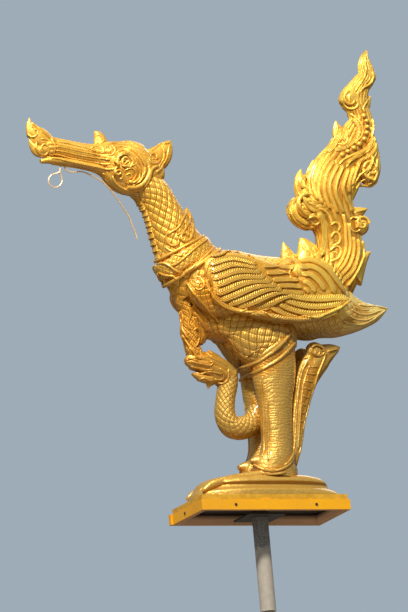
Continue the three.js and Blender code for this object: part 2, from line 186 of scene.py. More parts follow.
def lay_coordinates(data, along, around, kind, strength):
    """Two coordinate layers: place along and round the limb, and the pattern with its strength."""
    place = data.uv_layers.new(name="place")
    pattern = data.uv_layers.new(name="pattern")
    corner = np.empty(len(data.loops), int)
    data.loops.foreach_get("vertex_index", corner)
    count = len(along)
    u = np.append(along, [0, 0])[np.minimum(corner, count)]
    v = np.append(around, [0, 0])[np.minimum(corner, count)]
    place.data.foreach_set("uv", np.stack([u, v], 1).ravel().astype(np.float32))
    kinds = np.tile([kind / TENTHS, strength], (len(corner), 1))
    pattern.data.foreach_set("uv", kinds.ravel().astype(np.float32))


def add_form(points, faces, along=None, around=None, kind=PLAIN, strength=0.0):
    """A closed mesh of the swan, from points in millimetres, with its faces outwards."""
    data = bpy.data.meshes.new("form")
    data.from_pydata((points * MM).tolist(), [], faces)
    if along is None:
        along = around = np.zeros(len(points))
    lay_coordinates(data, along, around, kind, strength)
    made = bmesh.new()
    made.from_mesh(data)
    if made.calc_volume(signed=True) < 0:
        bmesh.ops.reverse_faces(made, faces=made.faces)
        made.to_mesh(data)
    made.free()
    SWAN.append(bpy.data.objects.new("form", data))


def limb(rows, y=0, sides=None, carve=None, grain=None, steps=12, blunt=1.0, fine=None):
    """A limb along a middle line that lies in XZ, moved sideways by y, with carving on its skin.
    blunt under 1 makes its section squarer. fine is a pattern of the relief, its size and strength."""
    grain = grain or GRAIN
    line, run = even(between(rows, steps), grain)
    x, z = line[:, 0], line[:, 1]
    depth = np.maximum(line[:, 2], THINNEST)[:, None]
    width = np.maximum(line[:, 3], THINNEST)[:, None]
    tangent = np.stack([np.gradient(x), np.gradient(z)], 1)
    tangent /= np.linalg.norm(tangent, axis=1)[:, None]
    if sides is None:
        girth = math.pi * (depth.max() + width.max())
        sides = int(np.clip(girth / grain, FEWEST_SIDES, MOST_SIDES))
    turn = np.arange(sides)[None, :] / sides * 2 * math.pi
    out = rounded(np.cos(turn), blunt) * depth
    across = rounded(np.sin(turn), blunt) * width
    if carve is not None:
        lift = carve(run[:, None], turn, depth, width)
        normal = np.stack([np.cos(turn) / depth, np.sin(turn) / width], -1)
        normal /= np.linalg.norm(normal, axis=-1)[..., None]
        fade = np.clip(np.minimum(depth, width) / CARVED_FROM, 0, 1)
        out = out + normal[..., 0] * lift * fade
        across = across + normal[..., 1] * lift * fade
    rings = np.stack([
        x[:, None] - tangent[:, 1:] * out,
        y + across,
        z[:, None] + tangent[:, :1] * out,
    ], -1)
    if fine is None:
        add_form(*skin(rings))
        return
    kind, size, strength = fine
    along = (run[:, None] / size + 0 * turn).ravel()
    if kind == BARBS:
        around = (np.cos(turn) * depth / size).ravel()
    else:
        repeats = even_count(depth, width, size) / 2
        around = (np.abs(turn / math.pi - 1) * repeats + 0 * run[:, None]).ravel()
    add_form(*skin(rings), along, around, kind, strength)


def even_count(depth, width, size):
    """How many times a size goes round a limb, as an even number, so that both sides match."""
    girth = math.pi * (np.mean(depth) + np.mean(width))
    return max(round(girth / size / 2) * 2, 4)


def both(make):
    """Makes what the swan has on its left side and on its right."""
    make(NEAR)
    make(FAR)


# Carving patterns: millimetres raised at a run along the limb and a turn round it

def scales(size, deep):
    def carve(run, turn, depth, width):
        p = even_count(depth, width, size) * turn / (2 * math.pi)
        q = run / size
        pillow = np.abs(np.sin(math.pi * (p + q)) * np.sin(math.pi * (p - q)))
        return deep * (pillow ** 0.3 - 0.7)
    return carve


def flutes(count, deep, sway=0.0):
    def carve(run, turn, depth, width):
        wave = np.abs(np.cos(count * (turn + sway * run) / 2))
        return deep * (wave ** 0.5 - 0.6)
    return carve


def flame(rows, sides=16, carve=flutes(4, 3.0)):
    """A flame leaf: a limb that runs out to a point, with grooves along it."""
    limb(rows, sides=sides, carve=carve)


SCROLL_STEPS = 14  # stations in one turn of a scroll
SCROLL_TIP = 0.55  # share of its thickness that a scroll keeps at its inner end


def scroll(x, z, r, y, turns=1.6, thick=6, start=0, way=1):
    """A spiral roll lying on the side of a form."""
    count = int(SCROLL_STEPS * turns)
    rows = []
    for i in range(count + 1):
        t = i / count
        at = math.radians(start) + way * turns * 2 * math.pi * t
        reach = r * (1 - t) + thick * 0.5
        size = thick * mix(1.0, SCROLL_TIP, t)
        rows.append([x + reach * math.cos(at), z + reach * math.sin(at), size, size])
    limb(rows, y=y, sides=8, steps=3, grain=GRAIN * 0.8)


def round_rows(x, z, r, thick, count, margin):
    """Stations of a round form, up to a margin, in radians, from its two ends."""
    return [[x - r * math.cos(a), z, r * math.sin(a), thick * math.sin(a)]
            for a in np.linspace(margin, math.pi - margin, count)]


def boss(x, z, y, r, thick):
    """A low round button on the side of a form."""
    limb(round_rows(x, z, r, thick, 9, 0.05), y=y, steps=2)


def bead(x, y, z, r):
    """A small ball."""
    limb(round_rows(x, z, r, r, 5, 0.2), y=y, steps=1, sides=FEWEST_SIDES, grain=r * 0.6)


def ring(x, z, slope, depth, width, thick, tall=None, fine=None):
    """A roll round a limb: an ellipse in a plane that leans in XZ by a slope angle."""
    tall = tall or thick
    lean = math.radians(slope)
    around = int(math.pi * (depth + width) / (GRAIN * 0.9))
    sides = int(np.clip(math.pi * (thick + tall) / (GRAIN * 0.7), FEWEST_SIDES, MOST_RING_SIDES))
    at = np.arange(around)[:, None] / around * 2 * math.pi
    turn = np.arange(sides)[None, :] / sides * 2 * math.pi
    reach = rounded(np.cos(turn), 0.6) * thick
    rise = np.sin(turn) * tall
    out = np.cos(at) * (depth + reach)
    rings = np.stack([
        x + out * math.cos(lean) - rise * math.sin(lean),
        np.sin(at) * (width + reach),
        z + out * math.sin(lean) + rise * math.cos(lean),
    ], -1)
    points, faces = skin(rings, closed=True)
    if fine is None:
        add_form(points, faces)
        return
    kind, size, strength = fine
    along = np.abs(at / math.pi - 1) * round(math.pi * (depth + width) / 2 / size)
    add_form(points, faces, (along + 0 * turn).ravel(), (rise / size + 0 * at).ravel(), kind, strength)


# Head and beak

def make_head():
    limb([
        [-776, 1766, 12, 8], [-742, 1784, 38, 22], [-700, 1782, 36, 26], [-600, 1760, 39, 31],
        [-545, 1752, 43, 36], [-500, 1744, 64, 48], [-450, 1718, 95, 62], [-400, 1704, 101, 68],
        [-350, 1696, 90, 62], [-308, 1704, 68, 46], [-275, 1725, 14, 12],
    ], carve=flutes(14, 3.0))
    limb([
        [-770, 1729, 8, 9], [-735, 1733, 13, 17], [-690, 1729, 15, 22], [-610, 1716, 14, 26],
        [-535, 1700, 17, 28], [-490, 1678, 25, 28], [-445, 1655, 47, 37], [-400, 1651, 56, 48],
        [-350, 1660, 50, 50],
    ])
    flame([
        [-735, 1792, 36, 20], [-765, 1818, 40, 20], [-790, 1845, 29, 15], [-801, 1870, 14, 9],
        [-800, 1896, 1, 1],
    ], sides=24)
    flame([[-745, 1775, 26, 20], [-775, 1772, 26, 19], [-799, 1794, 13, 10], [-809, 1814, 2, 2]])
    flame([
        [-516, 1775, 34, 20], [-516, 1803, 27, 16], [-521, 1822, 22, 12], [-530, 1836, 13, 9],
        [-538, 1844, 1, 2],
    ])
    flame([
        [-335, 1722, 52, 30], [-298, 1732, 48, 24], [-268, 1754, 41, 18], [-247, 1779, 29, 13],
        [-235, 1796, 16, 8], [-226, 1809, 1, 1],
    ], sides=24, carve=flutes(8, 4))

    def cheek(side):
        # The far arc is shorter, because a longer one would show under the jaw.
        arc = np.radians(np.linspace(256 if side == NEAR else 305, 395, 11))
        x = -431
        limb([[x + 78 * math.cos(a), 1690 + 76 * math.sin(a), 9, 9] for a in arc],
             y=side * (CHEEK_Y - 3), steps=3, sides=12)
        limb([[x + 60 * math.cos(a), 1692 + 58 * math.sin(a), 6, 7] for a in arc],
             y=side * (CHEEK_Y + 1), steps=3, sides=10)
        scroll(-446, 1716, 34, side * (CHEEK_Y + 4), turns=1.8, thick=7, start=200, way=-1)
        scroll(-478, 1678, 16, side * (CHEEK_Y - 6), turns=1.4, thick=6, start=30, way=1)

    both(cheek)


# Neck, with a ladder of plates down its front and a flame on its nape
NECK = [
    [-372, 1655, 68, 56], [-322, 1602, 69, 60], [-300, 1560, 71, 62], [-281, 1515, 77, 66],
    [-257, 1450, 89, 75], [-229, 1388, 103, 87], [-194, 1330, 120, 102], [-150, 1275, 140, 112],
]
PLATES = 13
FIRST_PLATE = 55  # millimetres down the neck's middle line
LAST_PLATE = 330
PLATE_SUNK = 5
PLATE_ABOVE = 11
PLATE_BELOW = 13
PLATE_LEAN = 6


def make_neck():
    limb(NECK, carve=scales(40, 2.4), fine=(SCALES, 40, 1.3))
    line, _ = even(between(NECK, 12), 1.0)
    for i in range(PLATES):
        at = int(mix(FIRST_PLATE, LAST_PLATE, i / (PLATES - 1)))
        x, z, depth = line[at, :3]
        along = np.array([line[at + 1, 0] - x, line[at + 1, 1] - z])
        along /= np.linalg.norm(along)
        out = np.array([along[1], -along[0]])
        front = np.array([x, z]) + out * (depth - PLATE_SUNK)
        top = front - along * PLATE_ABOVE
        bottom = front + along * PLATE_BELOW + out * PLATE_LEAN
        limb([[*top, 6, 20], [*front, 9, 22], [*bottom, 10, 22]], sides=14, grain=4)
    flame([
        [-216, 1395, 34, 34], [-205, 1450, 42, 36], [-194, 1500, 32, 27], [-188, 1528, 17, 15],
        [-184, 1552, 1, 1],
    ], sides=30, carve=flutes(10, 4))

    def curls(side):
        scroll(-190, 1440, 20, side * 36, turns=1.4, thick=9, start=60)
        scroll(-262, 1452, 17, side * 68, turns=1.3, thick=7, start=120, way=-1)

    both(curls)
    ring(-216, 1354, 28, 111, 93, 13, 33, fine=(SCALES, 22, 1.0))
    ring(-232, 1392, 25, 106, 88, 6, 6)
    ring(-188, 1320, 31, 130, 108, 7, 7)
    leaf = flutes(6, 3)
    limb([[-240, 1312, 22, 30], [-284, 1317, 17, 20], [-310, 1320, 10, 12], [-328, 1322, 2, 2]], carve=leaf)
    limb([[-225, 1268, 24, 34], [-266, 1265, 18, 24], [-292, 1268, 11, 14], [-306, 1273, 3, 4]], carve=leaf)
    limb([[-215, 1230, 22, 34], [-256, 1225, 16, 22], [-276, 1231, 9, 11], [-286, 1237, 3, 3]], carve=leaf)


# Body, its back flames and the leaf under the tail

def make_body():
    limb([
        [-238, 1232, 34, 34], [-212, 1240, 92, 76], [-140, 1248, 130, 112],
        [-50, 1248, 138, 126], [60, 1236, 130, 128], [150, 1226, 132, 122],
        [250, 1197, 154, 108], [335, 1176, 139, 88], [400, 1150, 106, 66],
        [450, 1138, 74, 48], [500, 1136, 50, 36], [550, 1144, 30, 24], [607, 1164, 1, 1],
    ], grain=GRAIN * 1.25, fine=(SCALES, 32, 1.4))
    limb([[-203, 1182, 58, 50], [-150, 1138, 80, 66], [-80, 1116, 82, 72], [0, 1116, 84, 74]],
         fine=(SCALES, 26, 1.5))
    limb([
        [370, 1154, 66, 44], [410, 1146, 90, 54], [450, 1138, 73, 46], [500, 1136, 50, 36],
        [550, 1144, 31, 25], [607, 1164, 1, 1],
    ], carve=flutes(12, 1.5), fine=(GROOVES, 13, 0.4), blunt=0.65)

    def breast(side):
        limb([
            [-222, 1262, 24, 24], [-204, 1240, 56, 40], [-176, 1218, 70, 44], [-120, 1190, 80, 46],
            [-60, 1170, 60, 40],
        ], y=side * 74, fine=(SCALES, 26, 1.5))

    both(breast)
    flame([[216, 1332, 48, 26], [209, 1374, 24, 17], [203, 1400, 11, 9], [200, 1418, 1, 1]],
          sides=30, carve=flutes(10, 4))
    flame([[300, 1345, 66, 32], [294, 1382, 45, 26], [284, 1408, 28, 18], [276, 1424, 14, 11],
           [270, 1433, 2, 3]], sides=36, carve=flutes(12, 5))
    scroll(238, 1346, 10, 0, turns=1.2, thick=13)
    scroll(306, 1370, 18, 0, turns=1.2, thick=22, way=-1)


# Folded wing: a shoulder shell and a longer one behind it, which carry the feathers

def make_wing(side):
    limb([
        [-183, 1256, 20, 8], [-164, 1259, 80, 22], [-112, 1248, 107, 34], [-40, 1236, 109, 37],
        [40, 1227, 96, 35], [110, 1214, 73, 29], [162, 1204, 42, 20], [186, 1199, 6, 6],
    ], y=side * WING_Y, blunt=0.75)
    limb([
        [-60, 1200, 78, 20], [40, 1191, 98, 25], [130, 1178, 94, 24], [220, 1168, 71, 19],
        [310, 1163, 47, 13], [372, 1167, 21, 8], [404, 1174, 2, 2],
    ], y=side * (WING_Y - 4), blunt=0.75)
    limb([
        [-176, 1206, 4, 6], [-142, 1158, 7, 14], [-85, 1129, 9, 20], [0, 1112, 9, 24],
        [90, 1098, 9, 24], [180, 1091, 9, 22], [270, 1104, 8, 16], [340, 1132, 6, 10],
        [394, 1166, 3, 4],
    ], y=side * (WING_Y + 13), sides=16, fine=(GROOVES, 9, 0.5))


def make_saddle(side):
    """A swelling at the root of the tail, with a knot in front."""
    boss(268, 1218, side * 82, 122, 46)
    boss(205, 1282, side * 98, 34, 26)


# Tail plume: a rising S with a scroll on each side and flames at its edges

def make_tail():
    limb([
        [372, 1190, 70, 44], [396, 1260, 81, 48], [424, 1330, 90, 46], [432, 1400, 93, 44],
        [425, 1460, 92, 44], [405, 1530, 98, 46], [405, 1600, 100, 46], [440, 1670, 102, 42],
        [486, 1735, 88, 37], [542, 1825, 66, 32], [564, 1880, 50, 28], [556, 1925, 47, 25],
        [548, 1965, 56, 26], [574, 2015, 40, 24], [604, 2050, 35, 20], [602, 2095, 29, 16],
        [604, 2128, 15, 10], [616, 2156, 1, 1],
    ], fine=(GROOVES, 16, 0.7))
    limb([
        [400, 1560, 90, 44], [345, 1545, 86, 48], [295, 1540, 72, 44], [260, 1544, 49, 32],
        [238, 1550, 18, 14],
    ], fine=(GROOVES, 14, 0.7))
    limb([
        [583, 1812, 36, 24], [581, 1750, 47, 30], [575, 1695, 51, 32], [573, 1655, 37, 26],
        [567, 1630, 8, 6],
    ], fine=(GROOVES, 14, 0.7))
    limb([[560, 1985, 50, 24], [522, 1970, 41, 28], [498, 1962, 26, 22], [484, 1958, 6, 6]])
    limb([[590, 2068, 36, 20], [616, 2052, 33, 20], [632, 2046, 24, 16], [641, 2044, 6, 6]])
    flame([[322, 1590, 60, 34], [296, 1640, 31, 22], [292, 1672, 15, 12], [300, 1698, 1, 1]])
    flame([[500, 1780, 52, 28], [472, 1832, 30, 18], [463, 1862, 14, 9], [462, 1884, 1, 1]])
    flame([[565, 1915, 34, 20], [592, 1948, 20, 13], [616, 1978, 1, 1]])
    flame([[462, 1500, 36, 30], [512, 1526, 26, 18], [560, 1546, 1, 1]])
    flame([[460, 1290, 60, 34], [505, 1340, 32, 22], [534, 1366, 16, 12], [558, 1380, 1, 1]])
    boss(516, 1480, 0, 40, 40)

    def scrolls(side):
        scroll(300, 1545, 46, side * 40, turns=1.7, thick=9, start=90, way=1)
        scroll(576, 1690, 34, side * 30, turns=1.6, thick=7, start=-90, way=-1)
        scroll(520, 1962, 26, side * 22, turns=1.5, thick=6, start=90, way=1)
        scroll(516, 1480, 26, side * 38, turns=1.5, thick=6)

    both(scrolls)


# Legs with scaled thighs, double garters, ribbed shanks, feet and spurs behind

def make_leg(side):
    y = side * LEG_Y
    limb([
        [-48, 1222, 40, 30], [-34, 1200, 112, 46], [-14, 1165, 148, 56], [22, 1106, 138, 66],
        [42, 1062, 126, 72], [70, 1026, 127, 72], [86, 994, 119, 66], [98, 965, 99, 60],
    ], y=y * 0.8, carve=scales(34, 3), fine=(SCALES, 34, 1.7))
    limb([
        [90, 1000, 90, 56], [87, 930, 88, 56], [83, 865, 82, 55], [79, 790, 68, 54],
        [73, 650, 60, 54], [66, 585, 68, 56], [57, 548, 87, 58], [52, 500, 90, 60],
    ], y=y, fine=(RIBS, 12, 0.24))
    limb([[30, 558, 22, 30], [-14, 564, 24, 26], [-44, 566, 8, 12]], y=y)
    limb([
        [118, 535, 20, 15], [141, 600, 22, 15], [157, 680, 27, 15], [181, 777, 32, 16],
        [213, 862, 39, 17], [245, 922, 47, 19], [284, 964, 45, 19], [324, 986, 29, 14],
        [352, 996, 15, 8], [369, 1003, 1, 1],
    ], y=y, carve=flutes(8, 4))
    boss(262, 984, y, 38, 24)
    scroll(262, 984, 26, y + side * 20, turns=1.5, thick=6)


def make_garters():
    ring(82, 996, 33, 117, 108, 9, 13)
    ring(90, 981, 33, 110, 103, 7, 11, fine=(SCALES, 12, 1.0))
    ring(98, 965, 33, 105, 99, 9, 13)


# Chest tassel that hangs into the serpent's head, and the serpent's looped neck

def make_serpent():
    limb([
        [-252, 1228, 20, 28], [-234, 1190, 30, 38], [-222, 1152, 28, 38], [-217, 1110, 32, 36],
        [-216, 1066, 37, 34], [-215, 1030, 28, 27], [-209, 998, 30, 28], [-194, 972, 28, 28],
    ], carve=scales(26, 5), fine=(SCALES, 13, 0.9))
    limb([[-200, 1160, 45, 40], [-180, 1105, 52, 40], [-176, 1066, 34, 32], [-186, 1026, 12, 14]],
         carve=flutes(8, 4))
    limb([
        [-66, 896, 36, 34], [-105, 922, 47, 38], [-150, 944, 48, 37], [-190, 960, 40, 32],
        [-225, 962, 31, 25], [-248, 960, 12, 12],
    ], carve=flutes(10, 3.5))
    limb([[-100, 900, 24, 26], [-150, 892, 18, 22], [-190, 898, 16, 18], [-226, 914, 5, 8]])
    flame([[-140, 890, 16, 14], [-158, 876, 13, 11], [-166, 855, 1, 1]])
    flame([[-100, 946, 22, 18], [-128, 978, 16, 12], [-152, 1006, 1, 1]])
    limb([
        [-72, 915, 34, 34], [-82, 870, 37, 36], [-98, 815, 37, 36], [-105, 755, 40, 38],
        [-84, 712, 44, 38], [-38, 705, 44, 38], [6, 728, 42, 38], [34, 780, 34, 34],
    ], carve=scales(22, 1.2), fine=(SCALES, 22, 1.1))


# Mound under the feet: an oblong dome in two tiers, with toes running forward
MOUND_SIDES = 110
MOUND_X = 8
MOUND_LEAN = 0.12  # how far its middle moves towards the tail for each millimetre up


def make_mound():
    levels = np.array([  # height above the board, and share of the full length and depth
        [0, 1, 1], [18, 1, 1], [26, 0.985, 0.97], [33, 0.965, 0.87], [41, 0.945, 0.82],
        [50, 0.93, 0.82], [56, 0.915, 0.9], [66, 0.885, 0.885], [80, 0.79, 0.79],
        [92, 0.55, 0.55], [97, 0.2, 0.2],
    ])
    line = between(levels, 4)
    turn = np.arange(MOUND_SIDES)[None, :] / MOUND_SIDES * 2 * math.pi
    up, long, deep = line[:, :1], line[:, 1:2], line[:, 2:]
    c, s = np.cos(turn), np.sin(turn)
    foot = [5, 35]  # the heights between which the foot's square tail end turns round
    square = np.where(c > 0, np.interp(up, foot, [0.4, 0.8]), 0.8)
    half_length = np.where(c > 0, np.interp(up, foot, [298, 286]), 288)
    half_depth = np.interp(up, [30, 60], [136, 130])
    rings = np.stack([
        MOUND_X + MOUND_LEAN * up + half_length * long * rounded(c, square),
        half_depth * deep * rounded(s, square),
        MOUND_BOTTOM + up + 0 * turn,
    ], -1)
    add_form(*skin(rings))

    def toes(side):
        for spread in (-20, 20):
            limb([
                [-20, 507, 20, 18], [-90, 499, 18, 16], [-160, 487, 18, 16],
                [-216, 472, 17, 14], [-252, 452, 10, 9], [-260, 445, 3, 3],
            ], y=side * LEG_Y + spread)

    both(toes)


# Carved ridges of the swan's left side, as the photograph shows them: half width in millimetres,
# then the ridge's points in pixels
LINES = {
    "border": [
        (5, [(209, 262), (206.5, 270), (206, 279), (208.5, 289), (214, 298), (222, 305), (232, 309.5),
            (241, 311.5)]),
        (5.5, [(238, 311.5), (244, 311), (247.5, 307.5), (246.5, 303.5), (242.5, 303)]),
        (2.5, [(213, 264), (210.5, 271), (210.5, 280), (213, 289), (218, 296.5), (225, 302.5),
            (234, 306.5)]),
    ],
    "leaf": [
        (4, [(358, 304), (367, 306), (377, 306.5), (386, 308.5)]),
        (3, [(351, 309), (359, 313.5), (367, 314.5), (375, 312.5), (381, 310)]),
        (3, [(348, 315), (357, 319.5), (366, 320), (374, 317), (380, 313)]),
        (4, [(343, 321), (352, 324), (362, 324.5), (371, 321), (379, 315), (386, 310)]),
        (2.5, [(353, 306), (361, 309.5), (370, 310)]),
    ],
    "beak": [
        (3.5, [(56, 142), (66, 143), (78, 146), (90, 149), (97, 152)]),
        (3.5, [(55, 146), (66, 148), (78, 151), (90, 153), (101, 156)]),
        (3.5, [(54, 150), (66, 152), (78, 155), (90, 157), (104, 159), (111, 160)]),
        (3.5, [(52, 154), (60, 155), (70, 158), (80, 160), (92, 162), (103, 164), (112, 164)]),
        (4.5, [(50, 158), (60, 159), (70, 161.5), (82, 164), (94, 166.5), (106, 169), (113, 169),
            (118, 166), (117, 162), (113, 161)]),
        (3, [(52, 163), (64, 166), (78, 168), (92, 171), (106, 175)]),
        (4.5, [(31, 122), (36, 126), (42, 131), (48, 136), (55, 141)]),
        (4, [(50, 138), (54, 143), (55, 149), (52, 156)]),
        (3.5, [(30, 121), (31, 126), (34, 129)]),
        (4, [(27, 133), (31, 137), (36, 136), (38, 132), (36, 129), (33, 130)]),
        (4, [(37, 141), (36, 147), (39, 153), (45, 155), (49, 151), (48, 146), (44, 144), (41, 147),
            (43, 150)]),
        (3.5, [(40, 139), (45, 139), (49, 141)]),
        (3.5, [(43, 157), (48, 157), (53, 160)]),
    ],
    "forehead": [
        (3.5, [(96, 134), (101, 136), (103.5, 140), (101, 144), (97, 143), (98, 139)]),
        (3.5, [(91, 148), (96, 146), (102, 148), (104, 152), (100, 154)]),
        (3.5, [(104, 149), (107, 146), (111, 148), (110, 152), (107, 151)]),
        (3.5, [(110, 145), (114, 147), (115, 151), (112, 155), (107, 155)]),
    ],
    "cheek": [
        (3.5, [(106, 147), (112, 143), (122, 142), (132, 144), (141, 149), (148, 156), (152, 161)]),
        (3.5, [(112, 149), (117, 146.5), (124, 146.5), (133, 150), (140, 156), (144, 162), (146, 168)]),
        (3.5, [(116, 153), (121, 150), (127, 151), (133, 154), (139, 160), (143, 168), (143, 175),
            (139, 182), (132, 186)]),
        (4, [(119, 157), (124, 154), (130, 157), (134, 162), (139, 167), (140.5, 173), (137.5, 180),
            (132, 183.5)]),
        (6.5, [(112, 175), (115, 182), (121, 187.5), (128, 190), (136, 190.5), (144, 187), (149, 180),
            (150.5, 173), (153, 168), (159, 166)]),
        (3, [(119.5, 161), (121, 157.5), (125, 156.5), (129, 159), (130, 163), (127, 166), (123, 166),
            (120.5, 164)]),
        (3, [(123, 161.5), (125, 159.5), (127, 161), (126, 163.5), (124, 163.5)]),
        (3.5, [(129, 167), (134, 165), (138, 162)]),
        (3.5, [(114, 178), (115, 172), (119, 170), (123, 173), (123, 178), (119, 179), (117.5, 176)]),
        (3.5, [(124, 171), (130, 168), (135, 170), (136, 176), (131, 181), (125, 183)]),
        (3, [(125, 176), (130, 173), (132, 177), (128, 180)]),
    ],
    "crest": [
        (4, [(149, 151), (155, 149), (160, 144), (166, 143.5), (170.5, 142.5)]),
        (3.5, [(163, 147), (164, 153), (163, 160), (159, 166)]),
        (4, [(170, 144), (168, 152), (166, 160), (161.5, 168), (156, 172)]),
        (3.5, [(150, 156), (153, 153), (157, 155), (156, 159), (152, 159)]),
        (3.5, [(143, 153), (148, 157), (151, 163), (157, 163), (161, 159)]),
    ],
    "nape": [
        (5, [(186, 211), (184, 217), (181, 223), (177, 229), (171, 232), (167, 236)]),
        (4.5, [(189, 212), (190, 219), (187, 226), (183, 232), (176, 236)]),
        (5.5, [(192, 222), (193, 230), (191, 238), (185, 242), (181, 238), (183, 233), (187, 234)]),
        (4, [(170, 230), (166, 236), (168, 243), (174, 246), (179, 243), (178, 239)]),
        (4.5, [(164, 246), (171, 251), (180, 251), (186, 247)]),
        (4.5, [(170, 256), (176, 255), (183, 256)]),
    ],
    "collar": [
        (4.5, [(168, 266), (176, 264), (184, 258), (193, 250), (202, 243), (208, 239)]),
        (4, [(170, 276), (180, 274), (190, 269), (200, 261), (209, 252), (215, 246)]),
        (5, [(184, 274), (192, 268), (201, 260), (210, 251), (216, 247)]),
        (5.5, [(186, 282), (192, 291), (199, 299), (206, 307), (213, 316), (220, 323)]),
        (4, [(183, 288), (188, 297), (194, 305), (201, 314), (208, 322)]),
        (5, [(157, 265), (163, 263), (170, 266), (176, 271), (182, 273)]),
        (5, [(158, 272), (164, 275), (171, 276), (178, 280)]),
        (4.5, [(163, 279), (166, 283), (164, 287)]),
        (4.5, [(169, 288), (173, 291), (172, 296)]),
        (4, [(192, 279), (197, 276), (202, 279), (204, 286), (199, 290), (194, 287)]),
        (3.5, [(195, 281), (199, 281), (200, 286)]),
    ],
    "strap": [
        (5, [(208, 278), (209, 286), (213, 295), (220, 304), (229, 309), (240, 312), (252, 312),
            (264, 310), (275, 306)]),
    ],
    "tailtop": [
        (4.5, [(366, 55), (365, 62), (366, 70), (364, 78), (360, 84), (355, 92)]),
        (4.5, [(372, 71), (373.5, 78), (370, 84), (363, 88), (360, 93)]),
        (5, [(345, 91), (343, 99), (345, 106), (351, 109), (357, 107), (358, 102)]),
        (4, [(351, 93), (349, 99), (351, 104)]),
        (4.5, [(349, 113), (355, 117), (361, 123), (363, 131), (360, 138), (353, 144), (346, 148),
            (338, 148)]),
        (4.5, [(371, 126), (372, 134), (371, 141), (367, 147), (359, 152), (350, 156), (343, 160),
            (339, 165)]),
        (4, [(375, 130), (375, 138), (373, 145), (368, 151), (360, 156), (351, 161), (346, 168)]),
        (4, [(369, 98), (366, 103), (363, 109), (366, 113)]),
        (4, [(338, 124), (337, 131), (334, 139), (330, 146), (324, 153)]),
        (4, [(346, 126), (344, 133), (348, 139), (343, 145), (337, 143)]),
        (4.5, [(352, 190), (354, 184), (358, 178), (364, 172), (371, 167)]),
        (4, [(356, 190), (359, 184), (364, 180), (371, 177)]),
        (4.5, [(362, 186), (369, 188), (375, 184), (377, 177), (373, 172), (368, 175), (370, 180)]),
        (4, [(377, 146), (376, 154), (372, 160), (366, 163), (363, 169)]),
        (4, [(378, 158), (377, 166), (373, 171)]),
    ],
    "taillow": [
        (6, [(291, 200), (290, 209), (294, 218), (300, 224), (308, 227.5), (316, 226)]),
        (4.5, [(296, 203), (296, 211), (301, 218), (308, 221)]),
        (4, [(301, 202), (301, 209), (306, 214), (311, 214)]),
        (4.5, [(306, 221), (311, 217), (317, 217), (320, 222), (315, 225), (311, 222)]),
        (4, [(299, 176), (297, 184), (298, 192), (303, 198), (310, 203), (317, 206)]),
        (4, [(304, 176), (304, 184), (309, 190), (312, 198), (318, 203)]),
        (5, [(318, 208), (325, 211), (330, 217), (332, 226)]),
        (5, [(330, 226), (336, 222), (340, 227), (338, 232)]),
        (5, [(330, 239), (335, 232), (340, 236), (339, 243), (332, 246)]),
        (5.5, [(329, 252), (336, 246), (341, 250), (338, 258), (330, 262)]),
        (4, [(333, 253), (337, 251), (336, 256)]),
        (4.5, [(350, 220), (353, 217), (359, 218), (362, 224), (360, 230), (354, 232), (350, 227),
            (350.5, 222)]),
        (3.5, [(354, 222), (358, 221), (359, 226), (355, 228)]),
        (4, [(354, 213), (360, 211), (367, 210)]),
        (4.5, [(363, 223), (366, 227), (363, 233)]),
    ],
    "root": [
        (4.5, [(299, 263), (296, 270), (298, 278)]),
        (4, [(291, 268), (289, 274), (292, 279), (297, 278)]),
        (4.5, [(284, 251), (287, 257), (294, 261)]),
        (4.5, [(300, 243), (305, 249), (312, 254), (317, 260)]),
        (4, [(312, 247), (316, 254), (322, 261), (329, 268)]),
    ],
    "garter": [
        (7, [(240, 368), (250, 365), (260, 361), (270, 354), (280, 346), (287, 338), (292, 331)]),
        (7, [(246, 375), (256, 372), (268, 366), (279, 359), (288, 351), (296, 341)]),
    ],
    "shank": [
        (4, [(263, 375), (262, 390), (263, 405), (264, 420), (264, 440), (262, 458)]),
        (4.5, [(268, 398), (268, 412), (269, 428), (269, 444), (268, 462)]),
        (5.5, [(252, 464), (262, 469), (273, 471), (284, 468), (291, 462), (295, 452)]),
        (5, [(250, 468), (262, 473), (276, 474), (287, 472)]),
    ],
    "spur": [
        (5.5, [(308, 361), (303, 369), (300, 380), (298, 392), (297, 405), (296, 420), (295, 435),
            (294, 448), (291, 459), (284, 466)]),
        (4, [(311, 364), (307, 372), (304, 382), (302, 394), (301, 406), (300, 420), (299, 435),
            (298, 450)]),
        (4.5, [(326, 352), (324, 360), (321, 367), (317, 377), (314, 388), (310, 400), (307, 412),
            (304, 425), (302, 440), (300, 455)]),
        (4.5, [(299, 353), (303, 351), (307, 354), (305, 359), (300, 358)]),
        (4.5, [(311, 348), (316, 345), (322, 347), (325, 352), (320, 356), (315, 354), (316, 350)]),
        (4.5, [(327, 352), (333, 350), (338, 349)]),
        (3.5, [(307, 367), (313, 367), (319, 366)]),
        (3.5, [(305, 373), (311, 374), (317, 374)]),
        (3.5, [(304, 380), (309, 381), (314, 382)]),
        (3.5, [(303, 387), (308, 389), (312, 390)]),
        (3.5, [(302, 395), (306, 397), (309, 398)]),
        (3.5, [(301, 403), (305, 405), (307, 406)]),
        (3.5, [(300, 411), (303, 413), (306, 414)]),
        (3.5, [(300, 420), (303, 422), (304, 422)]),
    ],
    "tassel": [
        (5, [(180, 310), (183, 318), (182, 326), (185, 334), (190, 340)]),
        (5, [(188, 306), (191, 315), (188, 323), (191, 331)]),
        (5.5, [(193, 331), (197, 328), (200, 332), (199, 340), (196, 347)]),
        (4.5, [(182, 334), (186, 341), (190, 348), (191, 356)]),
        (4.5, [(203, 333), (205, 340), (203, 346)]),
        (4.5, [(194, 312), (199, 318), (204, 325), (207, 333)]),
        (5, [(188, 346), (193, 351), (197, 357), (203, 360)]),
        (4.5, [(205, 352), (209, 355), (214, 359), (220, 362)]),
    ],
    "naga": [
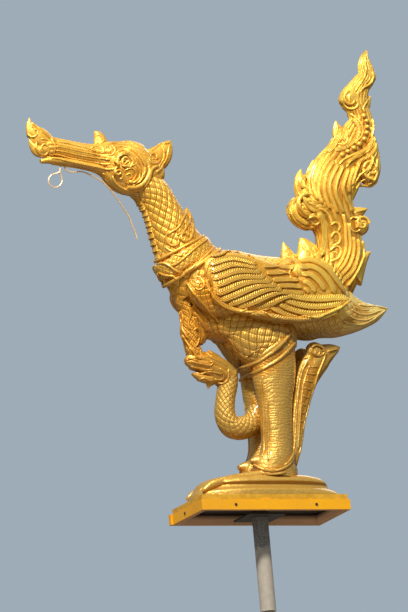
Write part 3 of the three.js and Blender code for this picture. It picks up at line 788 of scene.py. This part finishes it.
        (4, [(190, 361), (196, 363), (203, 364), (209, 366), (213, 364), (212, 361), (209, 362)]),
        (4, [(190, 366), (197, 368), (206, 370), (214, 370)]),
        (4, [(195, 373), (201, 374), (207, 372), (214, 372), (220, 374), (224, 372)]),
        (4, [(198, 380), (204, 378), (210, 381), (214, 379)]),
        (4.5, [(216, 383), (222, 384), (227, 381), (229, 375), (228, 368)]),
        (4, [(214, 379), (220, 380), (224, 377), (223, 371), (219, 368)]),
        (4, [(205, 356), (212, 358), (220, 362), (228, 367)]),
        (4, [(187, 358), (192, 359), (199, 361)]),
    ],
}

# Feathers and bands that lie on the skin: half width and thickness in millimetres, then points in pixels
BLADES = {
    "plume": [
        (13, 9, [(318, 212), (323, 220), (325, 230), (325, 240), (323, 250), (319, 259)]),
        (7, 7, [(343, 213), (345, 224), (345.5, 236), (346, 246), (343, 257), (338, 266), (333, 272)]),
        (7.5, 7, [(348, 222), (349.5, 234), (350, 246), (347.5, 257), (342, 267), (336, 276)]),
        (8, 7, [(353, 236), (354, 247), (352, 259), (346, 270), (339, 280)]),
        (9, 7, [(358, 238), (359, 250), (356.5, 262), (350, 274), (342, 284)]),
        (8, 7, [(363, 240), (363.5, 252), (361, 264), (355, 276), (347, 287)]),
        (9, 7, [(311, 164), (306, 172), (303, 181), (303, 190)]),
        (9, 7, [(319, 158), (314, 167), (310, 177), (309, 188), (312, 197)]),
        (8, 7, [(326, 153), (320, 162), (315, 171), (313, 182), (315, 193), (319, 201)]),
        (8, 7, [(331, 156), (325, 165), (320, 175), (318, 186), (319, 196), (323, 205)]),
        (8, 7, [(335, 160), (329, 168), (325, 178), (324, 190), (327, 201), (331, 210)]),
        (8, 7, [(339, 164), (334, 172), (330, 182), (330, 193), (334, 204), (338, 214)]),
        (8, 7, [(344, 165), (340, 173), (336, 184), (336, 195), (340, 205), (344, 214)]),
        (8, 7, [(349, 168), (346, 177), (343, 188), (346, 198), (350, 206), (352, 213)]),
        (8, 7, [(355, 166), (351, 175), (349, 184), (350, 194)]),
        (8, 7, [(360, 160), (357, 169), (354, 178), (352, 187)]),
        (8, 7, [(373, 155), (372, 163), (368, 170), (363, 177)]),
        (9, 7, [(376, 165), (377, 174), (374, 181), (367, 186)]),
        (9, 7, [(352, 118), (357, 124), (359, 131), (356, 139), (350, 145), (342, 149), (334, 150)]),
        (8, 7, [(372, 118), (374, 128), (373.5, 138), (370, 146), (363, 152), (354, 158), (347, 164)]),
        (8, 7, [(376, 142), (375, 150), (370, 156), (362, 160), (356, 166)]),
        (9, 7, [(340, 130), (338, 138), (334, 146), (327, 153)]),
        (9, 7, [(347, 127), (346, 135), (343, 142)]),
        (9, 8, [(293, 200), (293, 208), (297, 216), (303, 221), (310, 224)]),
        (9, 8, [(298, 196), (299, 205), (303, 212), (309, 216)]),
        (8, 8, [(304, 196), (306, 204), (311, 209), (317, 211)]),
    ],
    "coverts": [
        (16, 6, [(208, 258), (222, 253.5), (233, 252), (244, 254.5), (254, 259)]),
        (16, 6, [(208, 264.5), (221, 260), (233, 258), (245, 260.5), (257, 264)]),
        (16, 6, [(209, 271.5), (222, 267), (232, 263.8), (244, 264.5), (258, 267.5)]),
        (16, 6, [(211, 279), (224, 274.5), (232, 271.5), (243, 270), (262, 271.5)]),
        (16, 6, [(212, 287), (225, 281.5), (233, 278), (243, 276), (266, 276)]),
        (16, 6, [(215, 294), (228, 289), (237, 285), (247, 281.5), (258, 280), (272, 280.5)]),
        (15, 6, [(220, 300), (234, 295), (244, 290.5), (254, 286.5), (264, 284.5), (278, 285)]),
        (14, 6, [(227, 304), (242, 299.5), (252, 295), (262, 290.5), (272, 288), (283, 289)]),
        (13, 6, [(236, 306.5), (250, 303), (260, 299), (270, 294.5), (280, 291.5), (290, 292.5)]),
        (12, 6, [(246, 309.5), (261, 307), (271, 303), (281, 298), (289, 295.5), (297, 296)]),
    ],
    "primaries": [
        (16, 6, [(288, 294), (303, 297.5), (320, 298.5), (336, 297.5), (349, 298.5)]),
        (15, 6, [(284, 299), (297, 303.5), (311, 306), (326, 305.5), (339, 302.5), (349, 299.5)]),
        (14, 6, [(278, 303), (290, 308.5), (304, 312), (319, 312), (333, 308.5), (347, 301)]),
        (12, 5, [(270, 307), (284, 313), (298, 317), (313, 317), (328, 313), (343, 305.5)]),
        (11, 5, [(258, 310), (272, 316), (287, 320), (303, 321), (320, 317.5), (338, 310)]),
        (9, 5, [(249, 312.5), (262, 317.5), (276, 321.5), (292, 323.5)]),
    ],
    "saddle": [
        (15, 7, [(299, 262), (309, 260), (320, 263.5), (329, 270), (336, 279), (342, 288), (346, 297)]),
        (14, 7, [(299, 268), (309, 266.5), (318, 269.5), (325, 275.5), (331, 284), (336, 295)]),
        (13, 7, [(301, 274.5), (309, 274), (315, 278), (321, 284), (325, 292)]),
        (12, 7, [(302, 281), (308, 283), (313, 288), (316, 294)]),
        (10, 6, [(303, 287.5), (307, 290.5), (309, 295)]),
        (12, 6, [(262, 266), (272, 266), (283, 267), (296, 266)]),
        (11, 6, [(266, 273), (277, 272.5), (290, 273.5)]),
        (11, 6, [(272, 280), (284, 279.5), (299, 280)]),
        (10, 6, [(277, 286), (290, 285.5), (303, 287)]),
        (9, 5, [(284, 292), (294, 292), (304, 293.5)]),
        (12, 6, [(284, 250), (292, 258), (298, 263)]),
        (10, 6, [(312, 248), (315, 256), (318, 263)]),
    ],
}

# Round beads: a point in pixels and the radius in millimetres
BEADS = [
    (363.5, 116, 10), (366.5, 121, 9), (367, 127, 9), (366.5, 133, 10), (364, 139, 10),
    (359, 144, 10), (353.5, 148, 10), (347.5, 151.5, 9), (342, 155, 9),
]


def skin_of(forms):
    """A tree for finding places on the skin of all the forms."""
    points = []
    faces = []
    for form in forms:
        first = len(points)
        points.extend(vertex.co for vertex in form.data.vertices)
        faces.extend([first + k for k in face.vertices] for face in form.data.polygons)
    return BVHTree.FromPolygons(points, faces)


def on_skin(tree, x, y):
    """The place on the skin, in millimetres, that a pixel shows. Where the pixel is just off the
    outline, it is the first place that shows beside it."""
    back = view_axes()[2]
    for reach in range(MISS_PIXELS):
        for aside, rise in ((1, 0), (-1, 0), (0, -1), (0, 1)):
            start = behind_pixel(x + aside * reach, y + rise * reach) + back * CAMERA_DISTANCE
            place = tree.ray_cast(start, -back)[0]
            if place is not None:
                return np.array(place) / MM
    raise ValueError(f"nothing of the swan shows near pixel {x}, {y}")


def smooth(rows):
    """Each row drawn towards the ones beside it."""
    padded = np.vstack([rows[:1], rows, rows[-1:]])
    return 0.25 * padded[:-2] + 0.5 * padded[1:-1] + 0.25 * padded[2:]


RIDGE_TIP = 0.12  # share of its size that a ridge keeps at its ends
RIDGE_TAPER = 2.2  # half widths over which a ridge tapers
BLADE_TAPER = 1.3
SMOOTHING_ROUNDS = 2


def ridge(tree, half, points, side, sides=7, thick=None, tilt=0.0, fine=None):
    """A half-round ridge that follows the skin, tapering at both ends. With a thickness it is a
    flat blade, which can be tilted so that it overlaps the next."""
    line = between(points, 6)
    line[:, 1] *= side * NEAR
    step = np.linalg.norm(np.diff(line, axis=0), axis=1)
    run = np.concatenate([[0], np.cumsum(step)])
    count = max(int(run[-1] / (GRAIN * 1.1)), FEWEST_RIDGE_STEPS)
    at = np.linspace(0, run[-1], count + 1)
    line = np.stack([np.interp(at, run, line[:, k]) for k in range(3)], 1)
    place = np.empty_like(line)
    normal = np.empty_like(line)
    for k, point in enumerate(line):
        found, facing, _, _ = tree.find_nearest(Vector(point * MM))
        place[k] = np.array(found) / MM
        normal[k] = facing
    for _ in range(SMOOTHING_ROUNDS):
        place = smooth(place)
        normal = smooth(normal)
    normal /= np.linalg.norm(normal, axis=1)[:, None]
    along = np.gradient(place, axis=0)
    along /= np.maximum(np.linalg.norm(along, axis=1), 1e-6)[:, None]
    across = np.cross(along, normal)
    across /= np.maximum(np.linalg.norm(across, axis=1), 1e-6)[:, None]
    share = np.minimum(at, run[-1] - at) / (half * (BLADE_TAPER if thick else RIDGE_TAPER))
    size = mix(RIDGE_TIP, 1, np.sqrt(np.clip(share, 0, 1)))[:, None, None]
    turn = (np.arange(sides) / sides * 2 * math.pi)[None, :, None]
    rise = rounded(np.sin(turn), 0.5 if thick else 1) * (thick or half)
    rise = rise + tilt * np.cos(turn) * NEAR * side
    rings = place[:, None] + size * (np.cos(turn) * half * across[:, None] + rise * normal[:, None])
    if fine is None:
        add_form(*skin(rings))
        return
    kind, period, strength = fine
    along = (at[:, None] / period + 0 * turn[..., 0]).ravel()
    around = (np.cos(turn[..., 0]) * half / period + 0 * at[:, None]).ravel()
    add_form(*skin(rings), along, around, kind, strength)


def carve_lines(forms):
    """Ridges, feathers and beads on the skin of the plain forms, alike on both sides."""
    tree = skin_of(forms)
    for rows in LINES.values():
        for half, pixels in rows:
            points = [on_skin(tree, *pixel) for pixel in pixels]
            both(lambda side: ridge(tree, half, points, side))
    for name, rows in BLADES.items():
        feathered = name in ("coverts", "primaries")
        fine = (BARBS, 10, 1.0) if feathered else (GROOVES, 5, 0.9)
        for half, thick, pixels in rows:
            points = [on_skin(tree, *pixel) for pixel in pixels]
            tilt = thick * (0.7 if feathered else 0.3)
            both(lambda side: ridge(tree, half, points, side, 10, thick, tilt, fine))
    for across, down, r in BEADS:
        x, y, z = on_skin(tree, across, down)
        bead(x, y - BEAD_PROUD, z, r)
        bead(x, BEAD_PROUD - y, z, r)


def thin_out(obj):
    """Fewer triangles where the skin is smooth."""
    count = sum(len(face.vertices) - 2 for face in obj.data.polygons)
    if count <= TRIANGLES:
        return
    fewer = obj.modifiers.new("fewer", "DECIMATE")
    fewer.ratio = TRIANGLES / count
    fewer.use_collapse_triangulate = True
    bpy.ops.object.modifier_apply(modifier="fewer")


CRUMB = 20  # a loose piece with fewer vertices is only a leftover
MENDING_ROUNDS = 12


def mend(obj):
    """Closes the places that thinning leaves open or crowded, and drops loose crumbs."""
    made = bmesh.new()
    made.from_mesh(obj.data)
    for _ in range(MENDING_ROUNDS):
        bad = [edge for edge in made.edges if len(edge.link_faces) != 2]
        if not bad:
            break
        around = {face for edge in bad for vert in edge.verts for face in vert.link_faces}
        bmesh.ops.delete(made, geom=list(around), context="FACES")
        bmesh.ops.delete(made, geom=[edge for edge in made.edges if not edge.link_faces], context="EDGES")
        bmesh.ops.delete(made, geom=[vert for vert in made.verts if not vert.link_edges], context="VERTS")
        rims = [edge for edge in made.edges if len(edge.link_faces) == 1]
        bmesh.ops.holes_fill(made, edges=rims, sides=0)
        bmesh.ops.triangulate(made, faces=[face for face in made.faces if len(face.verts) > 3])
    seen = set()
    crumbs = []
    for vert in made.verts:
        if vert in seen:
            continue
        island = {vert}
        front = [vert]
        while front:
            for edge in front.pop().link_edges:
                for other in edge.verts:
                    if other not in island:
                        island.add(other)
                        front.append(other)
        seen |= island
        if len(island) < CRUMB:
            crumbs += island
    bmesh.ops.delete(made, geom=crumbs, context="VERTS")
    made.to_mesh(obj.data)
    made.free()


def join_forms(forms, name):
    """One closed skin round all the forms, with the first form's object."""
    scene = bpy.context.scene
    first = forms[0]
    scene.collection.objects.link(first)
    rest = bpy.data.collections.new("rest")
    scene.collection.children.link(rest)
    for form in forms[1:]:
        rest.objects.link(form)
    union = first.modifiers.new("union", "BOOLEAN")
    union.operation = "UNION"
    union.operand_type = "COLLECTION"
    union.collection = rest
    union.solver = "MANIFOLD"
    bpy.ops.object.select_all(action="DESELECT")
    bpy.context.view_layer.objects.active = first
    first.select_set(True)
    bpy.ops.object.modifier_apply(modifier="union")
    for form in forms[1:]:
        data = form.data
        bpy.data.objects.remove(form)
        bpy.data.meshes.remove(data)
    bpy.data.collections.remove(rest)
    first.name = name
    first.data.name = name
    return first


def cut_below(obj, height):
    """Closes the piece off flat at a height."""
    made = bmesh.new()
    made.from_mesh(obj.data)
    cut = bmesh.ops.bisect_plane(
        made, geom=made.verts[:] + made.edges[:] + made.faces[:],
        plane_co=(0, 0, height), plane_no=(0, 0, -1), clear_outer=True)
    edges = [item for item in cut["geom_cut"] if isinstance(item, bmesh.types.BMEdge)]
    if edges:
        bmesh.ops.triangle_fill(made, edges=edges)
    made.to_mesh(obj.data)
    made.free()


FULL_HOLLOW = 1.6  # millimetres below its surroundings at which a point counts as fully hollow


def note_hollows(obj):
    """Stores how hollow the surface is at each point, where the gold gets dirt and painted shade."""
    data = obj.data
    count = len(data.vertices)
    place = np.empty((count, 3))
    data.vertices.foreach_get("co", place.ravel())
    normal = np.empty((count, 3))
    data.vertices.foreach_get("normal", normal.ravel())
    edge = np.empty(len(data.edges) * 2, int)
    data.edges.foreach_get("vertices", edge)
    a, b = edge.reshape(-1, 2).T
    neighbours = np.bincount(a, minlength=count) + np.bincount(b, minlength=count)
    neighbours = np.maximum(neighbours, 1)[:, None]

    def spread(values):
        total = np.zeros_like(values)
        np.add.at(total, a, values[b])
        np.add.at(total, b, values[a])
        return total / neighbours

    mean = spread(place)
    for _ in range(2):
        mean = spread(mean)
    rise = ((mean - place) * normal).sum(1) / MM
    hollow = np.clip(rise / FULL_HOLLOW, -1, 1)[:, None]
    hollow = 0.5 * hollow + 0.5 * spread(hollow)
    layer = data.attributes.new("hollow", "FLOAT", "POINT")
    layer.data.foreach_set("value", hollow[:, 0].astype(np.float32))


def make_swan():
    """The whole casting as one mesh."""
    make_head()
    make_neck()
    make_body()
    both(make_wing)
    both(make_saddle)
    make_tail()
    both(make_leg)
    make_garters()
    make_serpent()
    make_mound()
    carve_lines(list(SWAN))
    swan = join_forms(SWAN, "swan_casting")
    cut_below(swan, MOUND_BOTTOM * MM)
    thin_out(swan)
    mend(swan)
    note_hollows(swan)
    return swan


# Materials. A node's output knows its tree, so each function finds the tree by its first input.

def new_material(name):
    material = bpy.data.materials.new(name)
    material.use_nodes = True
    tree = material.node_tree
    tree.nodes.clear()
    output = tree.nodes.new("ShaderNodeOutputMaterial")
    shader = tree.nodes.new("ShaderNodeBsdfPrincipled")
    tree.links.new(shader.outputs[0], output.inputs[0])
    place = tree.nodes.new("ShaderNodeTexCoord").outputs["Object"]
    return material, shader, place


def feed(socket, value):
    """A number, a colour or a node's output for a socket."""
    if isinstance(value, tuple):
        socket.default_value = (*value, 1)
    elif isinstance(value, (int, float)):
        socket.default_value = value
    else:
        socket.id_data.links.new(value, socket)


def noise(place, scale, detail=4, rough=0.55):
    node = place.id_data.nodes.new("ShaderNodeTexNoise")
    feed(node.inputs["Vector"], place)
    feed(node.inputs["Scale"], scale)
    feed(node.inputs["Detail"], detail)
    feed(node.inputs["Roughness"], rough)
    return node.outputs["Fac"]


def ramp(value, low, high, to_low=0.0, to_high=1.0):
    """The value brought from its range low to high into another range."""
    node = value.id_data.nodes.new("ShaderNodeMapRange")
    names = ("Value", "From Min", "From Max", "To Min", "To Max")
    for name, number in zip(names, (value, low, high, to_low, to_high)):
        feed(node.inputs[name], number)
    return node.outputs["Result"]


def blend(share, first, second):
    """The first colour turning into the second by a share."""
    node = share.id_data.nodes.new("ShaderNodeMix")
    node.data_type = "RGBA"
    feed(node.inputs["Factor"], share)
    colours = [item for item in node.inputs if item.type == "RGBA"]
    feed(colours[0], first)
    feed(colours[1], second)
    return [item for item in node.outputs if item.type == "RGBA"][0]


def calc(kind, a, b=0.0, c=None):
    """A calculation with a node's output and up to two more values."""
    node = a.id_data.nodes.new("ShaderNodeMath")
    node.operation = kind
    feed(node.inputs[0], a)
    feed(node.inputs[1], b)
    if c is not None:
        feed(node.inputs[2], c)
    return node.outputs[0]


def times(first, *others):
    for other in others:
        first = calc("MULTIPLY", first, other)
    return first


def plus(first, *others):
    for other in others:
        first = calc("ADD", first, other)
    return first


def split(vector):
    """The three parts of a vector."""
    node = vector.id_data.nodes.new("ShaderNodeSeparateXYZ")
    feed(node.inputs[0], vector)
    return node.outputs


def apply_finish(shader, colour, roughness, height, relief, strength, metallic=0.0):
    """Colour, roughness and a fine relief of so many metres."""
    node = height.id_data.nodes.new("ShaderNodeBump")
    feed(node.inputs["Distance"], relief)
    feed(node.inputs["Strength"], strength)
    feed(node.inputs["Height"], height)
    feed(shader.inputs["Normal"], node.outputs[0])
    feed(shader.inputs["Base Color"], colour)
    feed(shader.inputs["Roughness"], roughness)
    feed(shader.inputs["Metallic"], metallic)


def humps(value, power):
    """A row of rounded humps, one for each whole number."""
    sine = calc("SINE", times(value, math.pi))
    return calc("POWER", calc("ABSOLUTE", sine), power)


def coordinates(place, name):
    layer = place.id_data.nodes.new("ShaderNodeUVMap")
    layer.uv_map = name
    return split(layer.outputs[0])


def fine_relief(place):
    """Height of the fine patterns, by the pattern's number, and the painted shade that darkens feathers and
    ribs for the small shadows of their carving.
    """
    along, around, _ = coordinates(place, "place")
    kind, strength, _ = coordinates(place, "pattern")
    wander = ramp(noise(place, 14, 2), 0, 1, -0.9, 0.9)
    small = times(wander, 0.25)
    rising = plus(along, around, small)
    falling = plus(calc("SUBTRACT", along, around), small)
    crossed = times(humps(rising, 0.3), humps(falling, 0.3))
    hatched = humps(times(rising, 3), 0.5)
    swept = calc("SUBTRACT", along, times(calc("ABSOLUTE", around), 0.8))
    patterns = (
        (SCALES, plus(times(crossed, 0.75), times(hatched, 0.25))),
        (BARBS, humps(swept, 0.6)),
        (RIBS, humps(plus(along, times(wander, 2.6)), 0.5)),
        (GROOVES, humps(plus(around, small), 0.5)),
    )
    parts = []
    for number, pattern in patterns:
        here = calc("COMPARE", kind, number / TENTHS, 0.5 / TENTHS)
        parts.append(times(here, calc("SUBTRACT", pattern, 1)))
    relief = times(plus(*parts), strength)
    # Painted shade: feathers and ribs get a darker gold for the small shadows of their fine carving.
    near_barbs = calc("COMPARE", kind, BARBS / TENTHS, 1.5 / TENTHS)
    carving_shade = times(near_barbs, calc("GREATER_THAN", kind, (SCALES + 0.5) / TENTHS), 0.45)
    return relief, carving_shade


# Colours of the gold paint, of the dirt on it and of the light and shade painted on it
GOLD = (0.86, 0.475, 0.055)
PALE_GOLD = (0.92, 0.54, 0.09)
FLECK_GOLD = (0.78, 0.36, 0.022)
# Painted shade for the small shadows in the fine carving of feathers and ribs.
FINE_CARVING_SHADE = (0.60, 0.37, 0.060)
# Painted light: a paler gold where the tail should look lit.
TAIL_PAINTED_LIGHT = (1.0, 0.67, 0.10)
# Painted light: a paler gold on the leaf under the tail.
LEAF_PAINTED_LIGHT = (1.0, 0.80, 0.28)
# Painted shade: a darker gold on the lower parts, the legs, serpent and mound.
LOWER_PAINTED_SHADE = (0.52, 0.31, 0.06)
# Painted shade: a darker gold on the neck and nape.
NAPE_PAINTED_SHADE = (0.60, 0.30, 0.02)
# Painted shade: a darker orange gold on the breast.
BREAST_PAINTED_SHADE = (0.66, 0.26, 0.005)
# Painted shade: a dark brown gold on faces turned downwards.
UNDERSIDE_PAINTED_SHADE = (0.36, 0.16, 0.012)
# Dirt in the hollows, together with painted shade there.
CREVICE_DIRT_AND_SHADE = (0.62, 0.25, 0.008)
DEEP_CREVICE_DIRT_AND_SHADE = (0.30, 0.12, 0.012)


def gold_paint():
    material, shader, place = new_material("gold_paint")
    shader_nodes = material.node_tree.nodes
    hollow = shader_nodes.new("ShaderNodeAttribute")
    hollow.attribute_name = "hollow"
    facing = split(shader_nodes.new("ShaderNodeNewGeometry").outputs["Normal"])
    x, _, z = split(place)
    worn = noise(place, 9, 5)
    fine = noise(place, 60, 4)
    relief, carving_shade = fine_relief(place)
    # Dirt and painted shade together: darker in the hollows and in the grooves of the fine relief.
    dirt_and_shade = plus(hollow.outputs["Fac"], ramp(fine, 0.3, 0.7, -0.12, 0.12), times(relief, -0.45))

    # Each shade covers the ones before it by a share. Ranges of x and z, in metres, pick parts of the swan:
    # painted light on the tail and the leaf under it, painted shade on the legs and mound, the nape and the
    # breast.
    # Faces turned down get painted shade, and the hollows get dirt together with painted shade.
    paint = blend(ramp(worn, 0.35, 0.65), GOLD, PALE_GOLD)
    for share, shade in (
        (ramp(fine, 0.5, 0.75, 0, 0.3), FLECK_GOLD),
        (carving_shade, FINE_CARVING_SHADE),
        (times(ramp(x, 0.1, 0.26), ramp(z, 1.03, 1.17, 0, 0.9), ramp(z, 1.7, 1.9, 1, 0.7)), TAIL_PAINTED_LIGHT),
        (times(ramp(x, 0.37, 0.44), ramp(z, 1.24, 1.19, 0, 0.7)), LEAF_PAINTED_LIGHT),
        (ramp(z, 1.13, 1.0, 0, 0.8), LOWER_PAINTED_SHADE),
        (times(ramp(z, 1.34, 1.42), ramp(z, 1.64, 1.58, 0, 0.5), ramp(x, -0.1, -0.16)), NAPE_PAINTED_SHADE),
        (times(ramp(x, -0.08, -0.17), ramp(z, 1.3, 1.2, 0, 0.7), ramp(z, 0.8, 1.0)), BREAST_PAINTED_SHADE),
        (ramp(facing["Z"], -0.25, -0.8, 0, 0.7), UNDERSIDE_PAINTED_SHADE),
        (ramp(dirt_and_shade, 0.12, 0.6, 0, 0.8), CREVICE_DIRT_AND_SHADE),
        (ramp(dirt_and_shade, 0.6, 1.1, 0, 0.7), DEEP_CREVICE_DIRT_AND_SHADE),
    ):
        paint = blend(share, paint, shade)
    height = plus(times(relief, 1.3), plus(times(noise(place, 130, 3), 0.6), noise(place, 34, 3)))
    roughness = ramp(worn, 0.3, 0.7, 0.36, 0.5)
    apply_finish(shader, paint, roughness, height, relief=0.0035, strength=0.8, metallic=0.5)
    feed(shader.inputs["Coat Weight"], 0.3)
    feed(shader.inputs["Coat Roughness"], 0.16)
    return material


def yellow_paint():
    material, shader, place = new_material("yellow_paint")
    worn = noise(place, 7, 6)
    grain = noise(place, 90, 3)
    x, y, z = split(place)
    paint = blend(ramp(worn, 0.35, 0.7), (0.84, 0.40, 0.003), (0.72, 0.33, 0.012))
    paint = blend(ramp(grain, 0.62, 0.8, 0, 0.5), paint, (0.95, 0.62, 0.25))
    paint = blend(ramp(z, *BAR_DIRT, 0.8, 0), paint, (0.30, 0.14, 0.06))
    # Painted light and shade in the hollow under the board: the wood is paler than bare wood, for light
    # from below, and turns near black towards the board as painted shade.
    recess_wood_and_shade = blend(ramp(z, *RECESS_SHADE), (0.86, 0.50, 0.28), (0.02, 0.013, 0.009))
    within = times(
        calc("LESS_THAN", calc("ABSOLUTE", calc("SUBTRACT", x, RECESS_X)), RECESS_HALF_LENGTH),
        calc("LESS_THAN", calc("ABSOLUTE", y), RECESS_HALF_DEPTH),
        calc("LESS_THAN", z, RECESS_TOP))
    paint = blend(within, paint, recess_wood_and_shade)
    ragged = plus(z, ramp(noise(place, 26, 5), 0.3, 0.7, -0.006, 0.006))
    outside = ramp(within, 0, 1, 1, 0)
    gilded = times(ramp(ragged, BOARD_BOTTOM, BOARD_BOTTOM + 0.002), outside)
    golden = blend(ramp(noise(place, 40), 0.35, 0.65), (0.66, 0.37, 0.030), (0.52, 0.27, 0.016))
    paint = blend(gilded, paint, golden)
    apply_finish(shader, paint, ramp(worn, 0.3, 0.7, 0.38, 0.6), grain, relief=0.0012, strength=0.5)
    feed(shader.inputs["Specular IOR Level"], 0.35)
    return material


def pole_paint():
    material, shader, place = new_material("pole_paint")
    ragged = noise(place, 38, 6, 0.7)
    flecks = noise(place, 140, 5, 0.7)
    edge = plus(split(place)["Z"], ramp(ragged, 0.25, 0.75, -0.035, 0.035))
    cream = blend(ramp(ragged, 0.35, 0.7), (0.44, 0.39, 0.33), (0.34, 0.31, 0.26))
    cream = blend(ramp(flecks, 0.66, 0.72), cream, (0.16, 0.13, 0.10))
    steel = blend(ramp(flecks, 0.35, 0.65), (0.09, 0.088, 0.08), (0.30, 0.295, 0.27))
    paint = blend(ramp(edge, *WORN_PAINT), cream, steel)
    roughness = ramp(ragged, 0.3, 0.7, 0.5, 0.75)
    apply_finish(shader, paint, roughness, flecks, relief=0.0008, strength=0.5)
    return material


def dark_steel():
    material, shader, place = new_material("dark_steel")
    flecks = noise(place, 120, 5, 0.7)
    steel = blend(ramp(flecks, 0.3, 0.7), (0.02, 0.017, 0.015), (0.075, 0.05, 0.035))
    roughness = ramp(flecks, 0.3, 0.7, 0.5, 0.8)
    apply_finish(shader, steel, roughness, flecks, relief=0.0006, strength=0.6, metallic=0.3)
    return material


def wire_paint():
    material, shader, place = new_material("wire_paint")
    flecks = noise(place, 90, 4)
    paint = blend(ramp(flecks, 0.3, 0.7), (0.66, 0.44, 0.22), (0.78, 0.60, 0.36))
    roughness = ramp(flecks, 0.3, 0.7, 0.35, 0.55)
    apply_finish(shader, paint, roughness, flecks, relief=0.0005, strength=0.4, metallic=0.35)
    return material


BAR_EDGE = 0.0015
PLATE_EDGE = 0.0008
EDGE_STEPS = 3
SHARP_ANGLE = math.radians(40)


def dress(node, material, edge=0.0):
    """A CAD node keeps its shape and gets a finish and softened edges."""
    obj = nodes[node]
    obj.data.materials.clear()
    obj.data.materials.append(material)
    if edge:
        soften = obj.modifiers.new("edges", "BEVEL")
        soften.width = edge
        soften.segments = EDGE_STEPS
        soften.limit_method = "ANGLE"
        soften.angle_limit = SHARP_ANGLE


# Lights, sky and floor
SKY = (0.343, 0.413, 0.479)
HIGH_SKY = (0.27, 0.30, 0.32)
GROUND = (0.11, 0.056, 0.016)
SWAN_MIDDLE = (-0.1, 0, 1.3)
FLOOR_HEIGHT = -1.6
FLOOR_WIDTH = 9


def area_light(name, place, size, power, colour):
    """A square light on the swan, of a width in metres and a power in watts."""
    data = bpy.data.lights.new(name, "AREA")
    data.shape = "SQUARE"
    data.size = size
    data.energy = power
    data.color = colour
    light = bpy.data.objects.new(name, data)
    light.location = place
    light.rotation_euler = (Vector(SWAN_MIDDLE) - Vector(place)).to_track_quat("-Z", "Y").to_euler()
    bpy.context.scene.collection.objects.link(light)


def make_studio():
    """An even sky for the camera, with a darker ground in what the gold mirrors, and a pale floor."""
    bpy.context.scene.view_settings.view_transform = "Standard"
    world = bpy.data.worlds.new("sky")
    world.use_nodes = True
    sky_nodes = world.node_tree.nodes
    rise = split(sky_nodes.new("ShaderNodeTexCoord").outputs["Generated"])["Z"]
    colour = blend(ramp(rise, 0.02, 0.17), GROUND, SKY)
    colour = blend(ramp(rise, 0.25, 0.5), colour, HIGH_SKY)
    seen = sky_nodes.new("ShaderNodeLightPath").outputs["Is Camera Ray"]
    feed(sky_nodes["Background"].inputs["Color"], blend(seen, colour, SKY))
    bpy.context.scene.world = world
    area_light("key", (-2.9, -4.9, 6.8), size=0.8, power=1060, colour=(1.0, 0.94, 0.84))
    area_light("fill", (-5.0, -2.5, 1.5), size=3.0, power=8, colour=(1.0, 0.86, 0.62))
    area_light("rim", (3.5, 4.0, 4.5), size=2.0, power=45, colour=(1.0, 0.95, 0.88))
    bpy.ops.mesh.primitive_plane_add(size=FLOOR_WIDTH, location=(0, 0, FLOOR_HEIGHT))
    floor = bpy.context.object
    floor.name = "studio_floor"
    material, shader, place = new_material("floor_plaster")
    feed(shader.inputs["Base Color"], blend(noise(place, 0.6), (0.42, 0.42, 0.41), (0.48, 0.48, 0.47)))
    feed(shader.inputs["Roughness"], 0.9)
    floor.data.materials.append(material)


add_camera()

swan = make_swan()
swan.data.materials.clear()
swan.data.materials.append(gold_paint())
bpy.ops.object.select_all(action="DESELECT")
bpy.context.view_layer.objects.active = swan
swan.select_set(True)
bpy.ops.object.shade_smooth_by_angle(angle=SMOOTH_ANGLE)
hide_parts("swan")
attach(swan, "root")

yellow = yellow_paint()
steel = dark_steel()
for name in ("board", "frame_front", "frame_back", "frame_left", "frame_right"):
    dress(name, yellow, edge=BAR_EDGE)
for name in nodes:
    if name.startswith("bolt_"):
        dress(name, steel)
dress("pole", pole_paint())
dress("pole_plate", steel, edge=PLATE_EDGE)
dress("bell_hook", wire_paint())

make_studio()
